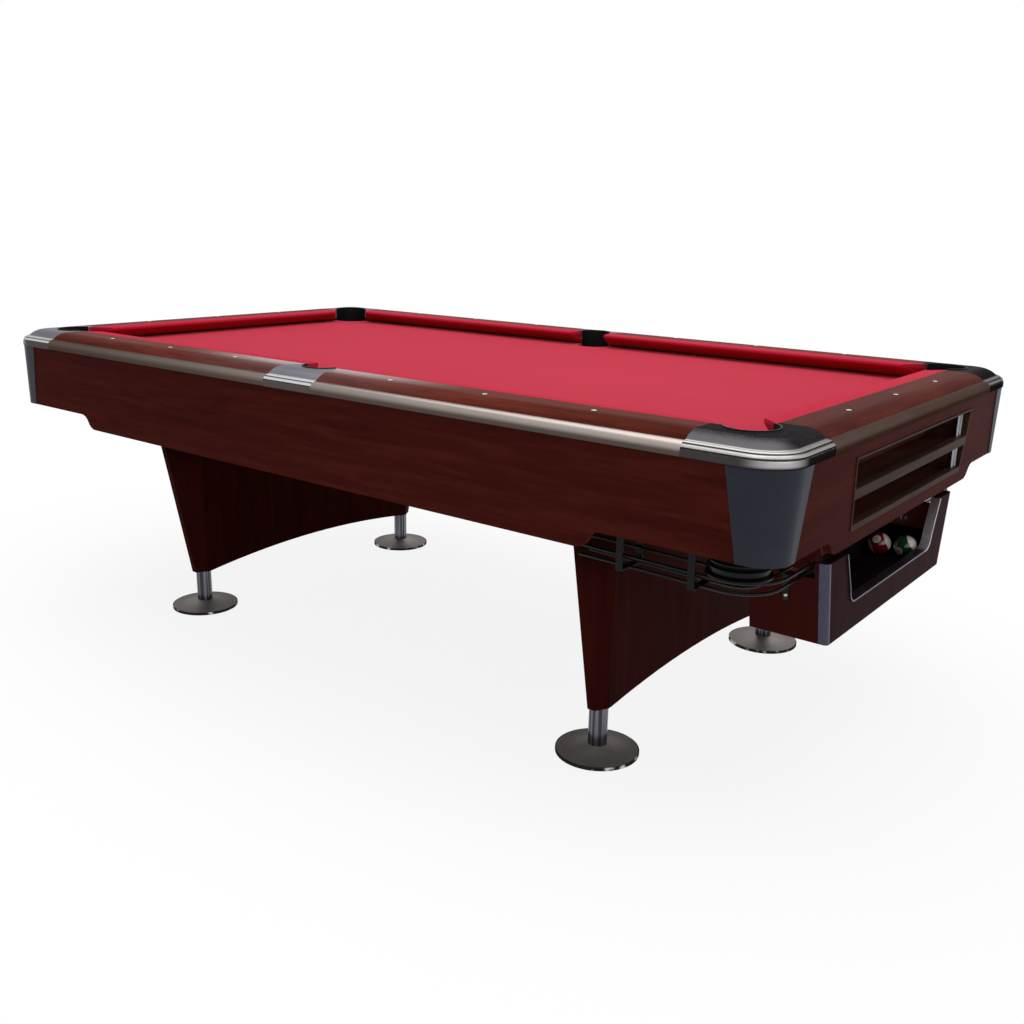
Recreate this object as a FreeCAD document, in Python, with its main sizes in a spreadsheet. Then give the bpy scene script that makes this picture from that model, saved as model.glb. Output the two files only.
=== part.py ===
import FreeCAD, Part
import math
import os
import re
import Sketcher

# Pocket billiards table: six pockets, ball return, ball rack in the foot end
# +X runs along the table to the foot end, +Y to the far side, +Z up from the floor

SIZES = (
    ("field_length", 2235.2, "cushion nose to cushion nose, along the table"),
    ("field_width", 1117.6, "cushion nose to cushion nose, across the table"),
    ("bed_height", 812, "top of the bed cloth above the floor"),
    ("cloth_thickness", 1, "bed cloth"),
    ("slate_thickness", 22, "slates"),
    ("slate_margin", 95, "slate beyond the cushion nose"),
    ("centre_slate_length", 745, "middle one of the three slates"),
    ("cushion_depth", 50, "cushion nose to the wooden rail"),
    ("nose_rise", 36.3, "cushion nose above the bed"),
    ("nose_radius", 5, "rounding of the cushion nose"),
    ("cushion_base", 6, "lower back edge of the cushion above the bed"),
    ("rail_width", 96, "wooden top rail"),
    ("rail_rise", 43, "top of the rail above the bed"),
    ("rail_fall", 18, "drop of the rail's outer edge"),
    ("rail_crown", 45, "width of the rounded outer part of the rail"),
    ("trim_width", 19, "metal trim outside the rail"),
    ("trim_height", 30, "metal trim, top to bottom"),
    ("trim_lower_radius", 4, "rounding of the trim's lower edge"),
    ("sight_diameter", 11, "inlaid sight"),
    ("sight_thickness", 0.6, "inlaid sight"),
    ("sight_setback", 94, "sight behind the cushion nose"),
    ("corner_pocket_radius", 54, "inside of a corner liner"),
    ("corner_pocket_offset", 25, "corner pocket centre beyond both nose lines"),
    ("side_pocket_radius", 50.5, "inside of a side liner"),
    ("side_pocket_offset", 41, "side pocket centre beyond the nose line"),
    ("liner_wall", 3.5, "pocket liner"),
    ("liner_rim", 2, "liner above the casting"),
    ("liner_drop", 99, "liner below the slate"),
    ("corner_mouth_cut", 83, "cushion nose stops this far from the nose corner"),
    ("corner_facing_run", 50, "cushion facing along the rail at a corner"),
    ("side_mouth_width", 130, "side pocket mouth between cushion noses"),
    ("side_facing_run", 8, "cushion facing along the rail at a side pocket"),
    ("casting_reach", 45, "corner casting past the nose corner"),
    ("casting_radius", 90, "outer corner of a corner casting"),
    ("rib_groove_depth", 3, "grooves between the ribs of the castings"),
    ("rib_groove_angle", 14, "opening of each groove along the round edge"),
    ("side_casting_length", 170, "side casting at its outer edge"),
    ("side_casting_neck", 114, "side casting at the cushion"),
    ("side_casting_sweep", 160, "radius of the side casting's curved ends"),
    ("fit_gap", 0.3, "running gap between round faces and at panel ends"),
    ("apron_thickness", 18, "apron boards"),
    ("apron_inset", 5, "apron face behind the trim at its top"),
    ("apron_lean", 9, "how far the side apron leans in over its depth"),
    ("side_apron_depth", 219, "side apron, middle part"),
    ("end_apron_depth", 213, "end apron, middle part"),
    ("apron_corner_depth", 179, "aprons and covers beside the corners"),
    ("side_apron_low_length", 1716, "deep part of the side apron"),
    ("side_apron_low_shift", 18, "middle of that deep part from the middle of the table, to the head end"),
    ("end_apron_low_length", 846, "deep middle part of the end apron"),
    ("ogee_run", 62, "curved step in the aprons' lower edge"),
    ("cover_proud", 2, "corner cover in front of the aprons"),
    ("cover_wall", 9, "corner cover shell"),
    ("cover_top_leg", 117, "cover along each side at its top"),
    ("cover_bottom_leg", 80, "cover along each side at its bottom"),
    ("cover_top_radius", 84, "rounded corner at the top of the cover"),
    ("cover_bottom_radius", 62, "rounded corner at the bottom of the cover"),
    ("rack_top_width", 774, "ball rack opening at its top"),
    ("rack_bottom_width", 726, "ball rack opening at its bottom"),
    ("rack_top_depth", 24, "rack opening top below the trim"),
    ("rack_bottom_depth", 181, "rack opening bottom below the trim"),
    ("rack_recess", 75, "rack tray behind the apron"),
    ("rack_wall", 7, "rack tray boards"),
    ("rack_bar", 5, "rack frame at its top and sides"),
    ("rack_middle_bar", 22, "front of the upper shelf"),
    ("rack_lip", 13, "front of the lower shelf"),
    ("rack_shelf_rise", 10, "lips of the shelves above their boards"),
    ("rack_proud", 2, "rack frame in front of the apron"),
    ("rack_post_diameter", 9, "bright posts at the far end of the rack"),
    ("rack_post_step", 22, "distance between the two posts of a tier"),
    ("beam_height", 100, "wooden frame under the slates"),
    ("beam_width", 50, "wooden frame under the slates"),
    ("beam_spread", 960, "side beams, centre to centre"),
    ("beam_length", 2280, "side beams"),
    ("pedestal_spread", 1506, "pedestals, centre to centre"),
    ("pedestal_thickness", 55, "pedestals between their bevelled ends"),
    ("pedestal_edge", 20, "pedestals at their slanting ends"),
    ("bevel_run", 32, "bevel of a pedestal's end, along the pedestal at its bottom"),
    ("pedestal_clearance", 118, "underside of a pedestal above the floor"),
    ("pedestal_foot_width", 968, "pedestal at its bottom"),
    ("pedestal_shoulder_width", 1138, "pedestal at its widest"),
    ("pedestal_shoulder_height", 545, "widest place above the floor"),
    ("pedestal_shoulder_band", 11, "height of the widest part"),
    ("pedestal_gully_gap", 10, "pedestal above its shoulder to the nearest gully wire"),
    ("arch_span", 880, "arch under a pedestal"),
    ("arch_rise", 30, "arch under a pedestal"),
    ("foot_spread", 900, "levellers of one pedestal, centre to centre"),
    ("post_diameter", 46, "leveller post"),
    ("stem_diameter", 22, "screw of the leveller inside the pedestal"),
    ("stem_length", 90, "screw of the leveller inside the pedestal"),
    ("disc_diameter", 200, "leveller foot disc"),
    ("disc_height", 22, "leveller foot disc"),
    ("disc_rim", 8, "edge of the foot disc"),
    ("disc_dish_radius", 300, "hollow upper side of the foot disc"),
    ("gully_offset", 592, "gully from the middle of the table"),
    ("gully_gauge", 40, "lower gully wires, centre to centre"),
    ("guard_gauge", 66, "upper gully wires, centre to centre"),
    ("guard_rise", 26, "upper gully wires above the lower ones"),
    ("wire_diameter", 7, "gully wires"),
    ("wire_lap", 40, "upper run reaches this far over the lower one"),
    ("drop_start", 790, "beginning of the lower run, from the middle of the table"),
    ("gully_drop", 45, "lower run below the upper one"),
    ("drop_hanger_lead", 110, "hanger of the lower run behind its beginning"),
    ("bend_hanger_lead", 48, "last hanger before the bend"),
    ("gully_height", 600, "gully wires above the floor at mid-length"),
    ("gully_angle", 1.15, "fall of the gully to the foot end, in degrees"),
    ("gully_turn_radius", 70, "bend of the gully under the foot corner"),
    ("gully_turn_lead", 30, "bend begins this far before the corner pocket"),
    ("gully_overlap", 45, "wires reach this far over the box wall"),
    ("notch_room", 2, "notch in the box wall round the wires"),
    ("hanger_step", 310, "gully hangers along the table"),
    ("hanger_width", 16, "bar and legs of a gully hanger"),
    ("hanger_thickness", 3, "bar and legs of a gully hanger"),
    ("box_setback", 32, "ball box front behind the trim"),
    ("box_bottom", 376, "underside of the ball box above the floor"),
    ("box_foot_width", 736, "ball box at its bottom"),
    ("box_top_width", 824, "ball box under the apron"),
    ("box_length", 175, "ball box, front to back"),
    ("box_board", 20, "boards of the ball box"),
    ("box_side_height", 186, "side boards and front of the ball box"),
    ("mouth_bottom_width", 542, "ball box mouth at its bottom"),
    ("mouth_top_width", 620, "ball box mouth at its top"),
    ("mouth_lip", 64, "lower edge of the mouth above the box bottom"),
    ("mouth_radius", 34, "rounded lower corners of the mouth"),
    ("mouth_lining", 4, "metal lining of the mouth"),
    ("mouth_lining_proud", 3, "lining in front of the box"),
    ("strip_width", 13, "metal strips on the front corners of the box"),
    ("strip_radius", 10, "rounding of those strips"),
    ("tray_wall", 3, "dark tray in the ball box"),
    ("tray_floor", 29, "top of the tray floor above the box bottom"),
    ("tray_depth", 55, "tray walls above the tray floor"),
    ("ball_diameter", 57.15, "balls"),
    ("ball_line_gap", 60, "lines of the two balls apart, along the table"),
    ("front_ball_setback", 36, "front ball's line behind the box front board"),
    ("green_ball_across", 265, "green-striped ball from the middle of the table"),
    ("maroon_ball_across", 245, "maroon-striped ball from the middle of the table"),
    ("lock_diameter", 31, "lock ring"),
    ("lock_ring_height", 3, "lock ring"),
    ("plug_diameter", 20, "lock plug"),
    ("plug_height", 7, "lock plug"),
    ("key_slot_width", 2.5, "slot in the lock plug"),
    ("key_slot_length", 13, "slot in the lock plug"),
    ("key_slot_depth", 4, "slot in the lock plug"),
    ("lock_setback", 105, "lock behind the box front"),
    ("lock_height", 104, "lock above the box bottom"),
    ("bolt_diameter", 10, "rail bolts"),
    ("bolt_head_diameter", 19, "rail bolts, across the corners"),
    ("bolt_head_height", 7, "rail bolts"),
    ("bolt_grip", 22, "bolt inside the rail"),
    ("bolt_setback", 22, "bolt behind the cushion"),
)

doc = FreeCAD.newDocument("billiards_table")
sheet = doc.addObject("Spreadsheet::Sheet", "Sizes")
for row, (alias, value, meaning) in enumerate(SIZES, start=1):
    sheet.set(f"A{row}", meaning)
    sheet.set(f"B{row}", str(value))
    sheet.setAlias(f"B{row}", alias)
doc.recompute()

nodes = []
SAME_PLACE = 0.001


# Expressions and building helpers

def bound(text):
    """An expression with every size name read from the sheet."""
    return re.sub(r"[a-z]+(?:_[a-z]+)+", lambda found: "Sizes." + found.group(0), text)


def mm(text):
    """The number that an expression gives now."""
    value = sheet.evalExpression(bound(text))
    return float(getattr(value, "Value", value))


def negative(text):
    return f"-({text})"


def node(obj):
    """Marks an object as a piece of the table, under the name of its file."""
    obj.Label = obj.Name
    nodes.append(obj)
    return obj


def place(obj, x="0", y="0", z="0"):
    for axis, text in zip("xyz", (x, y, z)):
        obj.setExpression("Placement.Base." + axis, bound(text))
    return obj


def block(name, length, width, height, x="0", y="0", z="0"):
    box = doc.addObject("Part::Box", name)
    for side, text in (("Length", length), ("Width", width), ("Height", height)):
        box.setExpression(side, bound(text))
    return place(box, x, y, z)


def rod(name, radius, height, x="0", y="0", z="0"):
    cylinder = doc.addObject("Part::Cylinder", name)
    cylinder.setExpression("Radius", bound(radius))
    cylinder.setExpression("Height", bound(height))
    return place(cylinder, x, y, z)


def boolean(kind, name, base, tool):
    result = doc.addObject("Part::" + kind, name)
    result.Base = base
    result.Tool = tool
    result.Refine = True
    return result


def fuse(name, pieces):
    result = doc.addObject("Part::MultiFuse", name)
    result.Shapes = pieces
    result.Refine = True
    return result


def group(name, pieces):
    """Separate solids that share one node."""
    result = doc.addObject("Part::Compound", name)
    result.Links = pieces
    return result


def cut(name, base, tools):
    tool = tools[0] if len(tools) == 1 else group(name + "_tools", tools)
    return boolean("Cut", name, base, tool)


def mirror(name, source, axis):
    """The same piece on the other side of the table: axis x swaps the ends, axis y the sides."""
    result = doc.addObject("Part::Mirroring", name)
    result.Source = source
    result.Normal = FreeCAD.Vector(1, 0, 0) if axis == "x" else FreeCAD.Vector(0, 1, 0)
    return result


def four_corners(stem, source):
    """The far foot piece and its three mirror images, as nodes."""
    far_head = mirror(stem + "_far_head", source, "x")
    near_foot = mirror(stem + "_near_foot", source, "y")
    near_head = mirror(stem + "_near_head", far_head, "y")
    source.Label = stem + "_far_foot"
    nodes.extend([source, far_head, near_foot, near_head])
    return [source, far_head, near_foot, near_head]


def origin_plane(body, role):
    return next(plane for plane in body.Origin.OriginFeatures if plane.Role == role)


def arc_between(start, end, radius, side):
    """The shorter arc from start to end, with its centre on the left (side 1) or right (side -1)."""
    chord = end - start
    half = chord.Length / 2
    left = FreeCAD.Vector(-chord.y, chord.x, 0).normalize()
    reach = math.sqrt(max(radius ** 2 - half ** 2, 0))
    centre = start + chord * 0.5 + left * (side * reach)
    first, last = (start, end) if side > 0 else (end, start)
    angles = [math.atan2(point.y - centre.y, point.x - centre.x) for point in (first, last)]
    circle = Part.Circle(centre, FreeCAD.Vector(0, 0, 1), radius)
    return Part.ArcOfCircle(circle, angles[0], angles[1])


def draw(sketch, corners, arcs=None, closed=True):
    """Lines and arcs through the corners; arcs maps a corner's number to (radius, side)."""
    arcs = arcs or {}
    points = [FreeCAD.Vector(mm(across), mm(up), 0) for across, up in corners]
    count = len(points) if closed else len(points) - 1
    ends = []
    for i in range(count):
        start, end = points[i], points[(i + 1) % len(points)]
        if i in arcs:
            radius, side = arcs[i]
            sketch.addGeometry(arc_between(start, end, mm(radius), side), False)
            ends.append((1, 2) if side > 0 else (2, 1))
            number = sketch.addConstraint(Sketcher.Constraint("Radius", i, mm(radius)))
            sketch.setExpression(f"Constraints[{number}]", bound(radius))
        else:
            sketch.addGeometry(Part.LineSegment(start, end), False)
            ends.append((1, 2))
    for i in range(count if closed else count - 1):
        after = (i + 1) % count
        sketch.addConstraint(Sketcher.Constraint("Coincident", i, ends[i][1], after, ends[after][0]))
    for i, (across, up) in enumerate(corners):
        edge, end = (i, ends[i][0]) if i < count else (i - 1, ends[i - 1][1])
        for kind, text in (("DistanceX", across), ("DistanceY", up)):
            number = sketch.addConstraint(Sketcher.Constraint(kind, -1, 1, edge, end, mm(text)))
            sketch.setExpression(f"Constraints[{number}]", bound(text))


def sketch_on(body, name, plane, offset="0"):
    sketch = body.newObject("Sketcher::SketchObject", name)
    sketch.AttachmentSupport = [(origin_plane(body, plane), "")]
    sketch.MapMode = "FlatFace"
    sketch.setExpression("AttachmentOffset.Base.z", bound(offset))
    return sketch


def prism(name, plane, corners, start, length, arcs=None):
    """An outline on YZ, XY or XZ, pushed along +X, +Z or +Y from start over length."""
    body = doc.addObject("PartDesign::Body", name)
    backwards = plane == "XZ_Plane"
    sketch = sketch_on(body, name + "_outline", plane, negative(start) if backwards else start)
    draw(sketch, corners, arcs)
    pad = body.newObject("PartDesign::Pad", name + "_pad")
    pad.Profile = sketch
    pad.setExpression("Length", bound(length))
    pad.Reversed = backwards
    return body


def turned(name, corners, angle, arcs=None):
    """An outline of (radius, height) turned about the Z axis from +X towards +Y."""
    body = doc.addObject("PartDesign::Body", name)
    sketch = sketch_on(body, name + "_outline", "XZ_Plane")
    draw(sketch, corners, arcs)
    turn = body.newObject("PartDesign::Revolution", name + "_turn")
    turn.Profile = sketch
    turn.ReferenceAxis = (sketch, ["V_Axis"])
    turn.Angle = angle
    return body


def ruled_loft(body, low, high):
    """Fills a body between two outlines with straight sides."""
    loft = body.newObject("PartDesign::AdditiveLoft", body.Name + "_loft")
    loft.Profile = low
    loft.Sections = [high]
    loft.Ruled = True


def spans(edge, axis, limits):
    """Whether an edge runs between two values of x, y or z."""
    ends = sorted(getattr(vertex, axis) for vertex in edge.Vertexes)
    return len(ends) == 2 and all(math.isclose(end, limit, abs_tol=SAME_PLACE)
                                  for end, limit in zip(ends, sorted(limits)))


def round_edges(body, radius, chosen):
    """Rounds the chosen edges of a body with one of the sheet's radii."""
    doc.recompute()
    base = body.Tip
    edges = [f"Edge{i}" for i, edge in enumerate(base.Shape.Edges, start=1) if chosen(edge)]
    fillet = body.newObject("PartDesign::Fillet", body.Name + "_fillet")
    fillet.Base = (base, edges)
    fillet.setExpression("Radius", bound(radius))


def both_sides(corners, arcs, other_corners=None):
    """An outline that starts at mid-width, and the mirror image of it or of another, as one outline."""
    count = len(corners)
    other = [(negative(across), up) for across, up in reversed(other_corners or corners)]
    other_arcs = {2 * count - 2 - i: arc for i, arc in arcs.items()}
    return corners + other, {**arcs, **other_arcs}


# Lines that several pieces share

NOSE_X, NOSE_Y = "(field_length / 2)", "(field_width / 2)"
WOOD_X, WOOD_Y = f"({NOSE_X} + cushion_depth)", f"({NOSE_Y} + cushion_depth)"
EDGE_X, EDGE_Y = f"({WOOD_X} + rail_width)", f"({WOOD_Y} + rail_width)"
OUT_X, OUT_Y = f"({EDGE_X} + trim_width)", f"({EDGE_Y} + trim_width)"
SLATE_X, SLATE_Y = f"({NOSE_X} + slate_margin)", f"({NOSE_Y} + slate_margin)"
SIGHT_STEP = "(field_length / 8)"
BED = "bed_height"
TOP = "(bed_height + rail_rise)"
EDGE_TOP = f"({TOP} - rail_fall)"
TRIM_BOTTOM = f"({EDGE_TOP} - trim_height)"
SLATE_TOP = "(bed_height - cloth_thickness)"
SLATE_BOTTOM = f"({SLATE_TOP} - slate_thickness)"
BEAM_BOTTOM = f"({SLATE_BOTTOM} - beam_height)"
CORNER_X, CORNER_Y = f"({NOSE_X} + corner_pocket_offset)", f"({NOSE_Y} + corner_pocket_offset)"
SIDE_Y = f"({NOSE_Y} + side_pocket_offset)"
CORNER_HOLE = "(corner_pocket_radius + liner_wall + fit_gap)"
SIDE_HOLE = "(side_pocket_radius + liner_wall + fit_gap)"
CAST_X, CAST_Y = f"({NOSE_X} - casting_reach)", f"({NOSE_Y} - casting_reach)"
ROUND_X, ROUND_Y = f"({OUT_X} - casting_radius)", f"({OUT_Y} - casting_radius)"
BOX_FRONT = f"({OUT_X} - box_setback)"
BOX_INSIDE = f"({BOX_FRONT} - box_board)"
BOX_BACK = f"({BOX_FRONT} - box_length)"
BOX_TOP = f"({TRIM_BOTTOM} - end_apron_depth)"
BOX_FLARE = f"((box_top_width - box_foot_width) / 2 / ({BOX_TOP} - box_bottom))"
TRAY_TOP = "(box_bottom + tray_floor)"


def lean(depth):
    """How far an apron has come in at a depth below the trim."""
    return f"(apron_inset + apron_lean * ({depth}) / side_apron_depth)"


def below_trim(depth):
    return f"({TRIM_BOTTOM} - ({depth}))"


# Holes that pass through several pieces

hole_height = f"({TOP} + liner_rim)"
corner_hole = rod("corner_hole", CORNER_HOLE, hole_height, CORNER_X, CORNER_Y)
side_hole = rod("side_hole", SIDE_HOLE, hole_height, "0", SIDE_Y)
corner_gap = block(
    "corner_gap", "slate_margin", "slate_margin", hole_height, CORNER_X, CORNER_Y)
side_gap = block(
    "side_gap", f"2 * {SIDE_HOLE}", "slate_margin", hole_height, negative(SIDE_HOLE), SIDE_Y)
corner_notch = fuse("corner_notch", [corner_hole, corner_gap])
side_notch = fuse("side_notch", [side_hole, side_gap])
foot_notches = [corner_notch, mirror("corner_notch_near", corner_notch, "y")]
head_notches = [mirror(f"{notch.Name}_head", notch, "x") for notch in foot_notches]
side_notches = [side_notch, mirror("side_notch_near", side_notch, "y")]

BOLT_X, BOLT_Y = f"({WOOD_X} + bolt_setback)", f"({WOOD_Y} + bolt_setback)"
LONG_BOLTS = [(f"({k}) * {SIGHT_STEP}", f"({side}) * {BOLT_Y}")
              for side in (-1, 1) for k in (-3, -2, -1, 1, 2, 3)]
BESIDE_RACK = "(rack_top_width / 2 + rack_wall + bolt_head_diameter)"
END_BOLTS = [(f"({end}) * {BOLT_X}", f"({side}) * {BESIDE_RACK}") for end in (-1, 1) for side in (-1, 1)]
BOLT_TOP = f"({BED} + bolt_grip)"
bolts = []
bolt_holes = []
for i, (x, y) in enumerate(LONG_BOLTS + END_BOLTS):
    shank = rod(f"bolt_shank_{i}", "bolt_diameter / 2", f"{BOLT_TOP} - {SLATE_BOTTOM}", x, y, SLATE_BOTTOM)
    head = doc.addObject("Part::Prism", f"bolt_head_{i}")
    head.Polygon = 6
    head.setExpression("Circumradius", bound("bolt_head_diameter / 2"))
    head.setExpression("Height", bound("bolt_head_height"))
    place(head, x, y, f"{SLATE_BOTTOM} - bolt_head_height")
    bolts.append(fuse(f"bolt_{i}", [head, shank]))
    bolt_holes.append(rod(f"bolt_hole_{i}", "bolt_diameter / 2 + fit_gap",
                          f"{BOLT_TOP} - {BEAM_BOTTOM}", x, y, BEAM_BOTTOM))
bolt_drill = group("bolt_drill", bolt_holes)
node(group("rail_bolts", bolts))


# Slates and bed cloth

def slate(name, start, end, notches):
    board = block(name + "_board", f"({end}) - ({start})", f"2 * {SLATE_Y}", "slate_thickness",
                  start, negative(SLATE_Y), SLATE_BOTTOM)
    return node(cut(name, board, notches + [bolt_drill]))


HALF_CENTRE = "(centre_slate_length / 2)"
slate("slate_foot", HALF_CENTRE, SLATE_X, foot_notches)
slate("slate_centre", negative(HALF_CENTRE), HALF_CENTRE, side_notches)
slate("slate_head", negative(SLATE_X), negative(HALF_CENTRE), head_notches)
cloth_sheet = block("cloth_sheet", f"2 * {SLATE_X}", f"2 * {SLATE_Y}", "cloth_thickness",
                    negative(SLATE_X), negative(SLATE_Y), SLATE_TOP)
node(cut("bed_cloth", cloth_sheet, foot_notches + head_notches + side_notches + [bolt_drill]))


# Rails, trims, castings and cushions share one section

CROWN_RADIUS = "((rail_crown ^ 2 + rail_fall ^ 2) / (2 * rail_fall))"
GROOVES = (34, 68)


def crown(inner, edge):
    """Top of a rail from its inner face to its outer edge."""
    corners = [(inner, BED), (inner, TOP), (f"{edge} - rail_crown", TOP), (edge, EDGE_TOP)]
    return corners, {2: (CROWN_RADIUS, -1)}


def rail_section(inner, edge):
    corners, arcs = crown(inner, edge)
    return corners + [(edge, BED)], arcs


def round_edge(edge, angle, inset="0"):
    """A point on the quarter round of the trim, by its angle from the top."""
    reach = f"(trim_width - {inset})"
    return f"{edge} + {reach} * sin({angle})", f"{EDGE_TOP} - trim_width + {reach} * cos({angle})"


def lower_edge(edge):
    """The trim's face down to its rounded lower edge."""
    outer = f"{edge} + trim_width"
    return [(outer, f"{TRIM_BOTTOM} + trim_lower_radius"), (f"{outer} - trim_lower_radius", TRIM_BOTTOM)]


def trim_section(edge):
    corners = [(edge, TRIM_BOTTOM), (edge, EDGE_TOP), round_edge(edge, 90)] + lower_edge(edge)
    return corners, {1: ("trim_width", -1), 3: ("trim_lower_radius", -1)}


def casting_section(inner, edge):
    """The rail's crown, then a ribbed round edge in line with the trim."""
    corners, arcs = crown(inner, edge)
    for angle in GROOVES:
        arcs[len(corners) - 1] = ("trim_width", -1)
        corners.append(round_edge(edge, f"({angle} - rib_groove_angle / 2)"))
        corners.append(round_edge(edge, angle, "rib_groove_depth"))
        corners.append(round_edge(edge, f"({angle} + rib_groove_angle / 2)"))
    arcs[len(corners) - 1] = ("trim_width", -1)
    corners.append(round_edge(edge, 90))
    arcs[len(corners)] = ("trim_lower_radius", -1)
    corners += lower_edge(edge)
    return corners + [(edge, TRIM_BOTTOM), (edge, BED)], arcs


HALF_LENGTH = "(side_casting_length / 2)"
HALF_NECK = "(side_casting_neck / 2)"
side_plan = [(HALF_NECK, WOOD_Y), (HALF_LENGTH, EDGE_Y), (HALF_LENGTH, OUT_Y),
             (negative(HALF_LENGTH), OUT_Y), (negative(HALF_LENGTH), EDGE_Y), (negative(HALF_NECK), WOOD_Y)]
side_arcs = {0: ("side_casting_sweep", 1), 4: ("side_casting_sweep", 1)}
side_envelope = prism("side_envelope", "XY_Plane", side_plan, TRIM_BOTTOM,
                      f"{TOP} - {TRIM_BOTTOM}", side_arcs)

corners, arcs = rail_section(WOOD_Y, EDGE_Y)
long_rail = prism("long_rail", "YZ_Plane", corners, "0", CAST_X, arcs)
four_corners("rail", cut("long_rail_fitted", long_rail, [side_envelope, bolt_drill]))
corners, arcs = rail_section(WOOD_X, EDGE_X)
end_rail = prism("end_rail", "XZ_Plane", corners, negative(CAST_Y), f"2 * {CAST_Y}", arcs)
foot_rail = node(cut("rail_foot", end_rail, [bolt_drill]))
node(mirror("rail_head", foot_rail, "x"))

corners, arcs = trim_section(EDGE_Y)
long_trim = prism("long_trim", "YZ_Plane", corners, HALF_LENGTH, f"{CAST_X} - {HALF_LENGTH}", arcs)
far_trims = [long_trim, mirror("long_trim_head", long_trim, "x")]
near_trims = [mirror(trim.Name + "_near", trim, "y") for trim in far_trims]
node(group("rail_trims_long", far_trims + near_trims))
corners, arcs = trim_section(EDGE_X)
end_trim = prism("end_trim", "XZ_Plane", corners, negative(CAST_Y), f"2 * {CAST_Y}", arcs)
node(group("rail_trims_end", [end_trim, mirror("end_trim_head", end_trim, "x")]))

corners, arcs = casting_section(WOOD_Y, EDGE_Y)
side_band = prism("side_band", "YZ_Plane", corners, negative(HALF_LENGTH), "side_casting_length", arcs)
side_shape = boolean("Common", "side_shape", side_band, side_envelope)
side_casting = node(cut("side_casting_far", side_shape, [side_hole]))
node(mirror("side_casting_near", side_casting, "y"))

corners, arcs = casting_section(ROUND_Y, EDGE_Y)
long_arm = prism("casting_long_arm", "YZ_Plane", corners, CAST_X, f"{ROUND_X} - {CAST_X}", arcs)
corners, arcs = casting_section(ROUND_X, EDGE_X)
end_arm = prism("casting_end_arm", "XZ_Plane", corners, CAST_Y, f"{ROUND_Y} - {CAST_Y}", arcs)
corners, arcs = casting_section("0", "(casting_radius - trim_width)")
knuckle = place(turned("casting_knuckle", corners, 90, arcs), ROUND_X, ROUND_Y)
web_plan = [(CAST_X, WOOD_Y), (WOOD_X, WOOD_Y), (WOOD_X, CAST_Y),
            (ROUND_X, CAST_Y), (ROUND_X, ROUND_Y), (CAST_X, ROUND_Y)]
web = prism("casting_web", "XY_Plane", web_plan, BED, "rail_rise")
corner_shape = fuse("corner_shape", [long_arm, end_arm, knuckle, web])
four_corners("corner_casting", cut("corner_casting_fitted", corner_shape, [corner_hole]))


def cushion_section(nose, back):
    """The rounded nose, a nearly level top and a sloping underside."""
    middle = f"({BED} + nose_rise)"
    tip = f"({nose} + nose_radius)"
    corners = [(back, f"{BED} + cushion_base"), (back, TOP), (tip, f"{middle} + nose_radius"),
               (nose, middle), (tip, f"{middle} - nose_radius")]
    return corners, {2: ("nose_radius", 1), 3: ("nose_radius", 1)}


MOUTH_X, MOUTH_Y = f"({NOSE_X} - corner_mouth_cut)", f"({NOSE_Y} - corner_mouth_cut)"
SIDE_MOUTH = "(side_mouth_width / 2)"
corners, arcs = cushion_section(NOSE_Y, WOOD_Y)
long_bar = prism("long_cushion_bar", "YZ_Plane", corners, "0", WOOD_X, arcs)
long_plan = [(SIDE_MOUTH, NOSE_Y), (MOUTH_X, NOSE_Y), (f"{MOUTH_X} + corner_facing_run", WOOD_Y),
             (f"{SIDE_MOUTH} - side_facing_run", WOOD_Y)]
long_facings = prism("long_cushion_plan", "XY_Plane", long_plan, BED, "rail_rise")
four_corners("cushion", boolean("Common", "long_cushion", long_bar, long_facings))
corners, arcs = cushion_section(NOSE_X, WOOD_X)
end_bar = prism("end_cushion_bar", "XZ_Plane", corners, negative(WOOD_Y), f"2 * {WOOD_Y}", arcs)
end_plan = [(NOSE_X, MOUTH_Y), (WOOD_X, f"{MOUTH_Y} + corner_facing_run"),
            (WOOD_X, f"-({MOUTH_Y} + corner_facing_run)"), (NOSE_X, negative(MOUTH_Y))]
end_facings = prism("end_cushion_plan", "XY_Plane", end_plan, BED, "rail_rise")
foot_cushion = node(boolean("Common", "cushion_foot", end_bar, end_facings))
node(mirror("cushion_head", foot_cushion, "x"))


# Sights in the rails

LONG_SIGHTS = [(f"({k}) * {SIGHT_STEP}", f"({side}) * ({NOSE_Y} + sight_setback)")
               for side in (-1, 1) for k in (-3, -2, -1, 1, 2, 3)]
END_SIGHTS = [(f"({end}) * ({NOSE_X} + sight_setback)", f"({k}) * {SIGHT_STEP}")
              for end in (-1, 1) for k in (-1, 0, 1)]
node(group("sights", [rod(f"sight_{i}", "sight_diameter / 2", "sight_thickness", x, y, TOP)
                      for i, (x, y) in enumerate(LONG_SIGHTS + END_SIGHTS)]))


# Pocket liners: a tube through casting and slate, open towards the bed

LINER_BOTTOM = f"({SLATE_BOTTOM} - liner_drop)"
LINER_HEIGHT = f"({TOP} + liner_rim - {LINER_BOTTOM})"


def liner(name, radius, mouth, x, y, angle):
    """mouth is where the cushion facings end, measured from the pocket's centre towards its back."""
    tube = cut(name + "_tube", rod(name + "_outside", f"{radius} + liner_wall", LINER_HEIGHT, z=LINER_BOTTOM),
               [rod(name + "_inside", radius, LINER_HEIGHT, z=LINER_BOTTOM)])
    reach = f"(2 * ({radius} + liner_wall))"
    opening = block(name + "_opening", reach, reach, f"{TOP} + liner_rim - {SLATE_BOTTOM}",
                    f"({mouth}) - {reach}", f"-{reach} / 2", SLATE_BOTTOM)
    piece = cut(name, tube, [opening])
    piece.Placement.Rotation = FreeCAD.Rotation(FreeCAD.Vector(0, 0, 1), angle)
    return place(piece, x, y)


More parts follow.
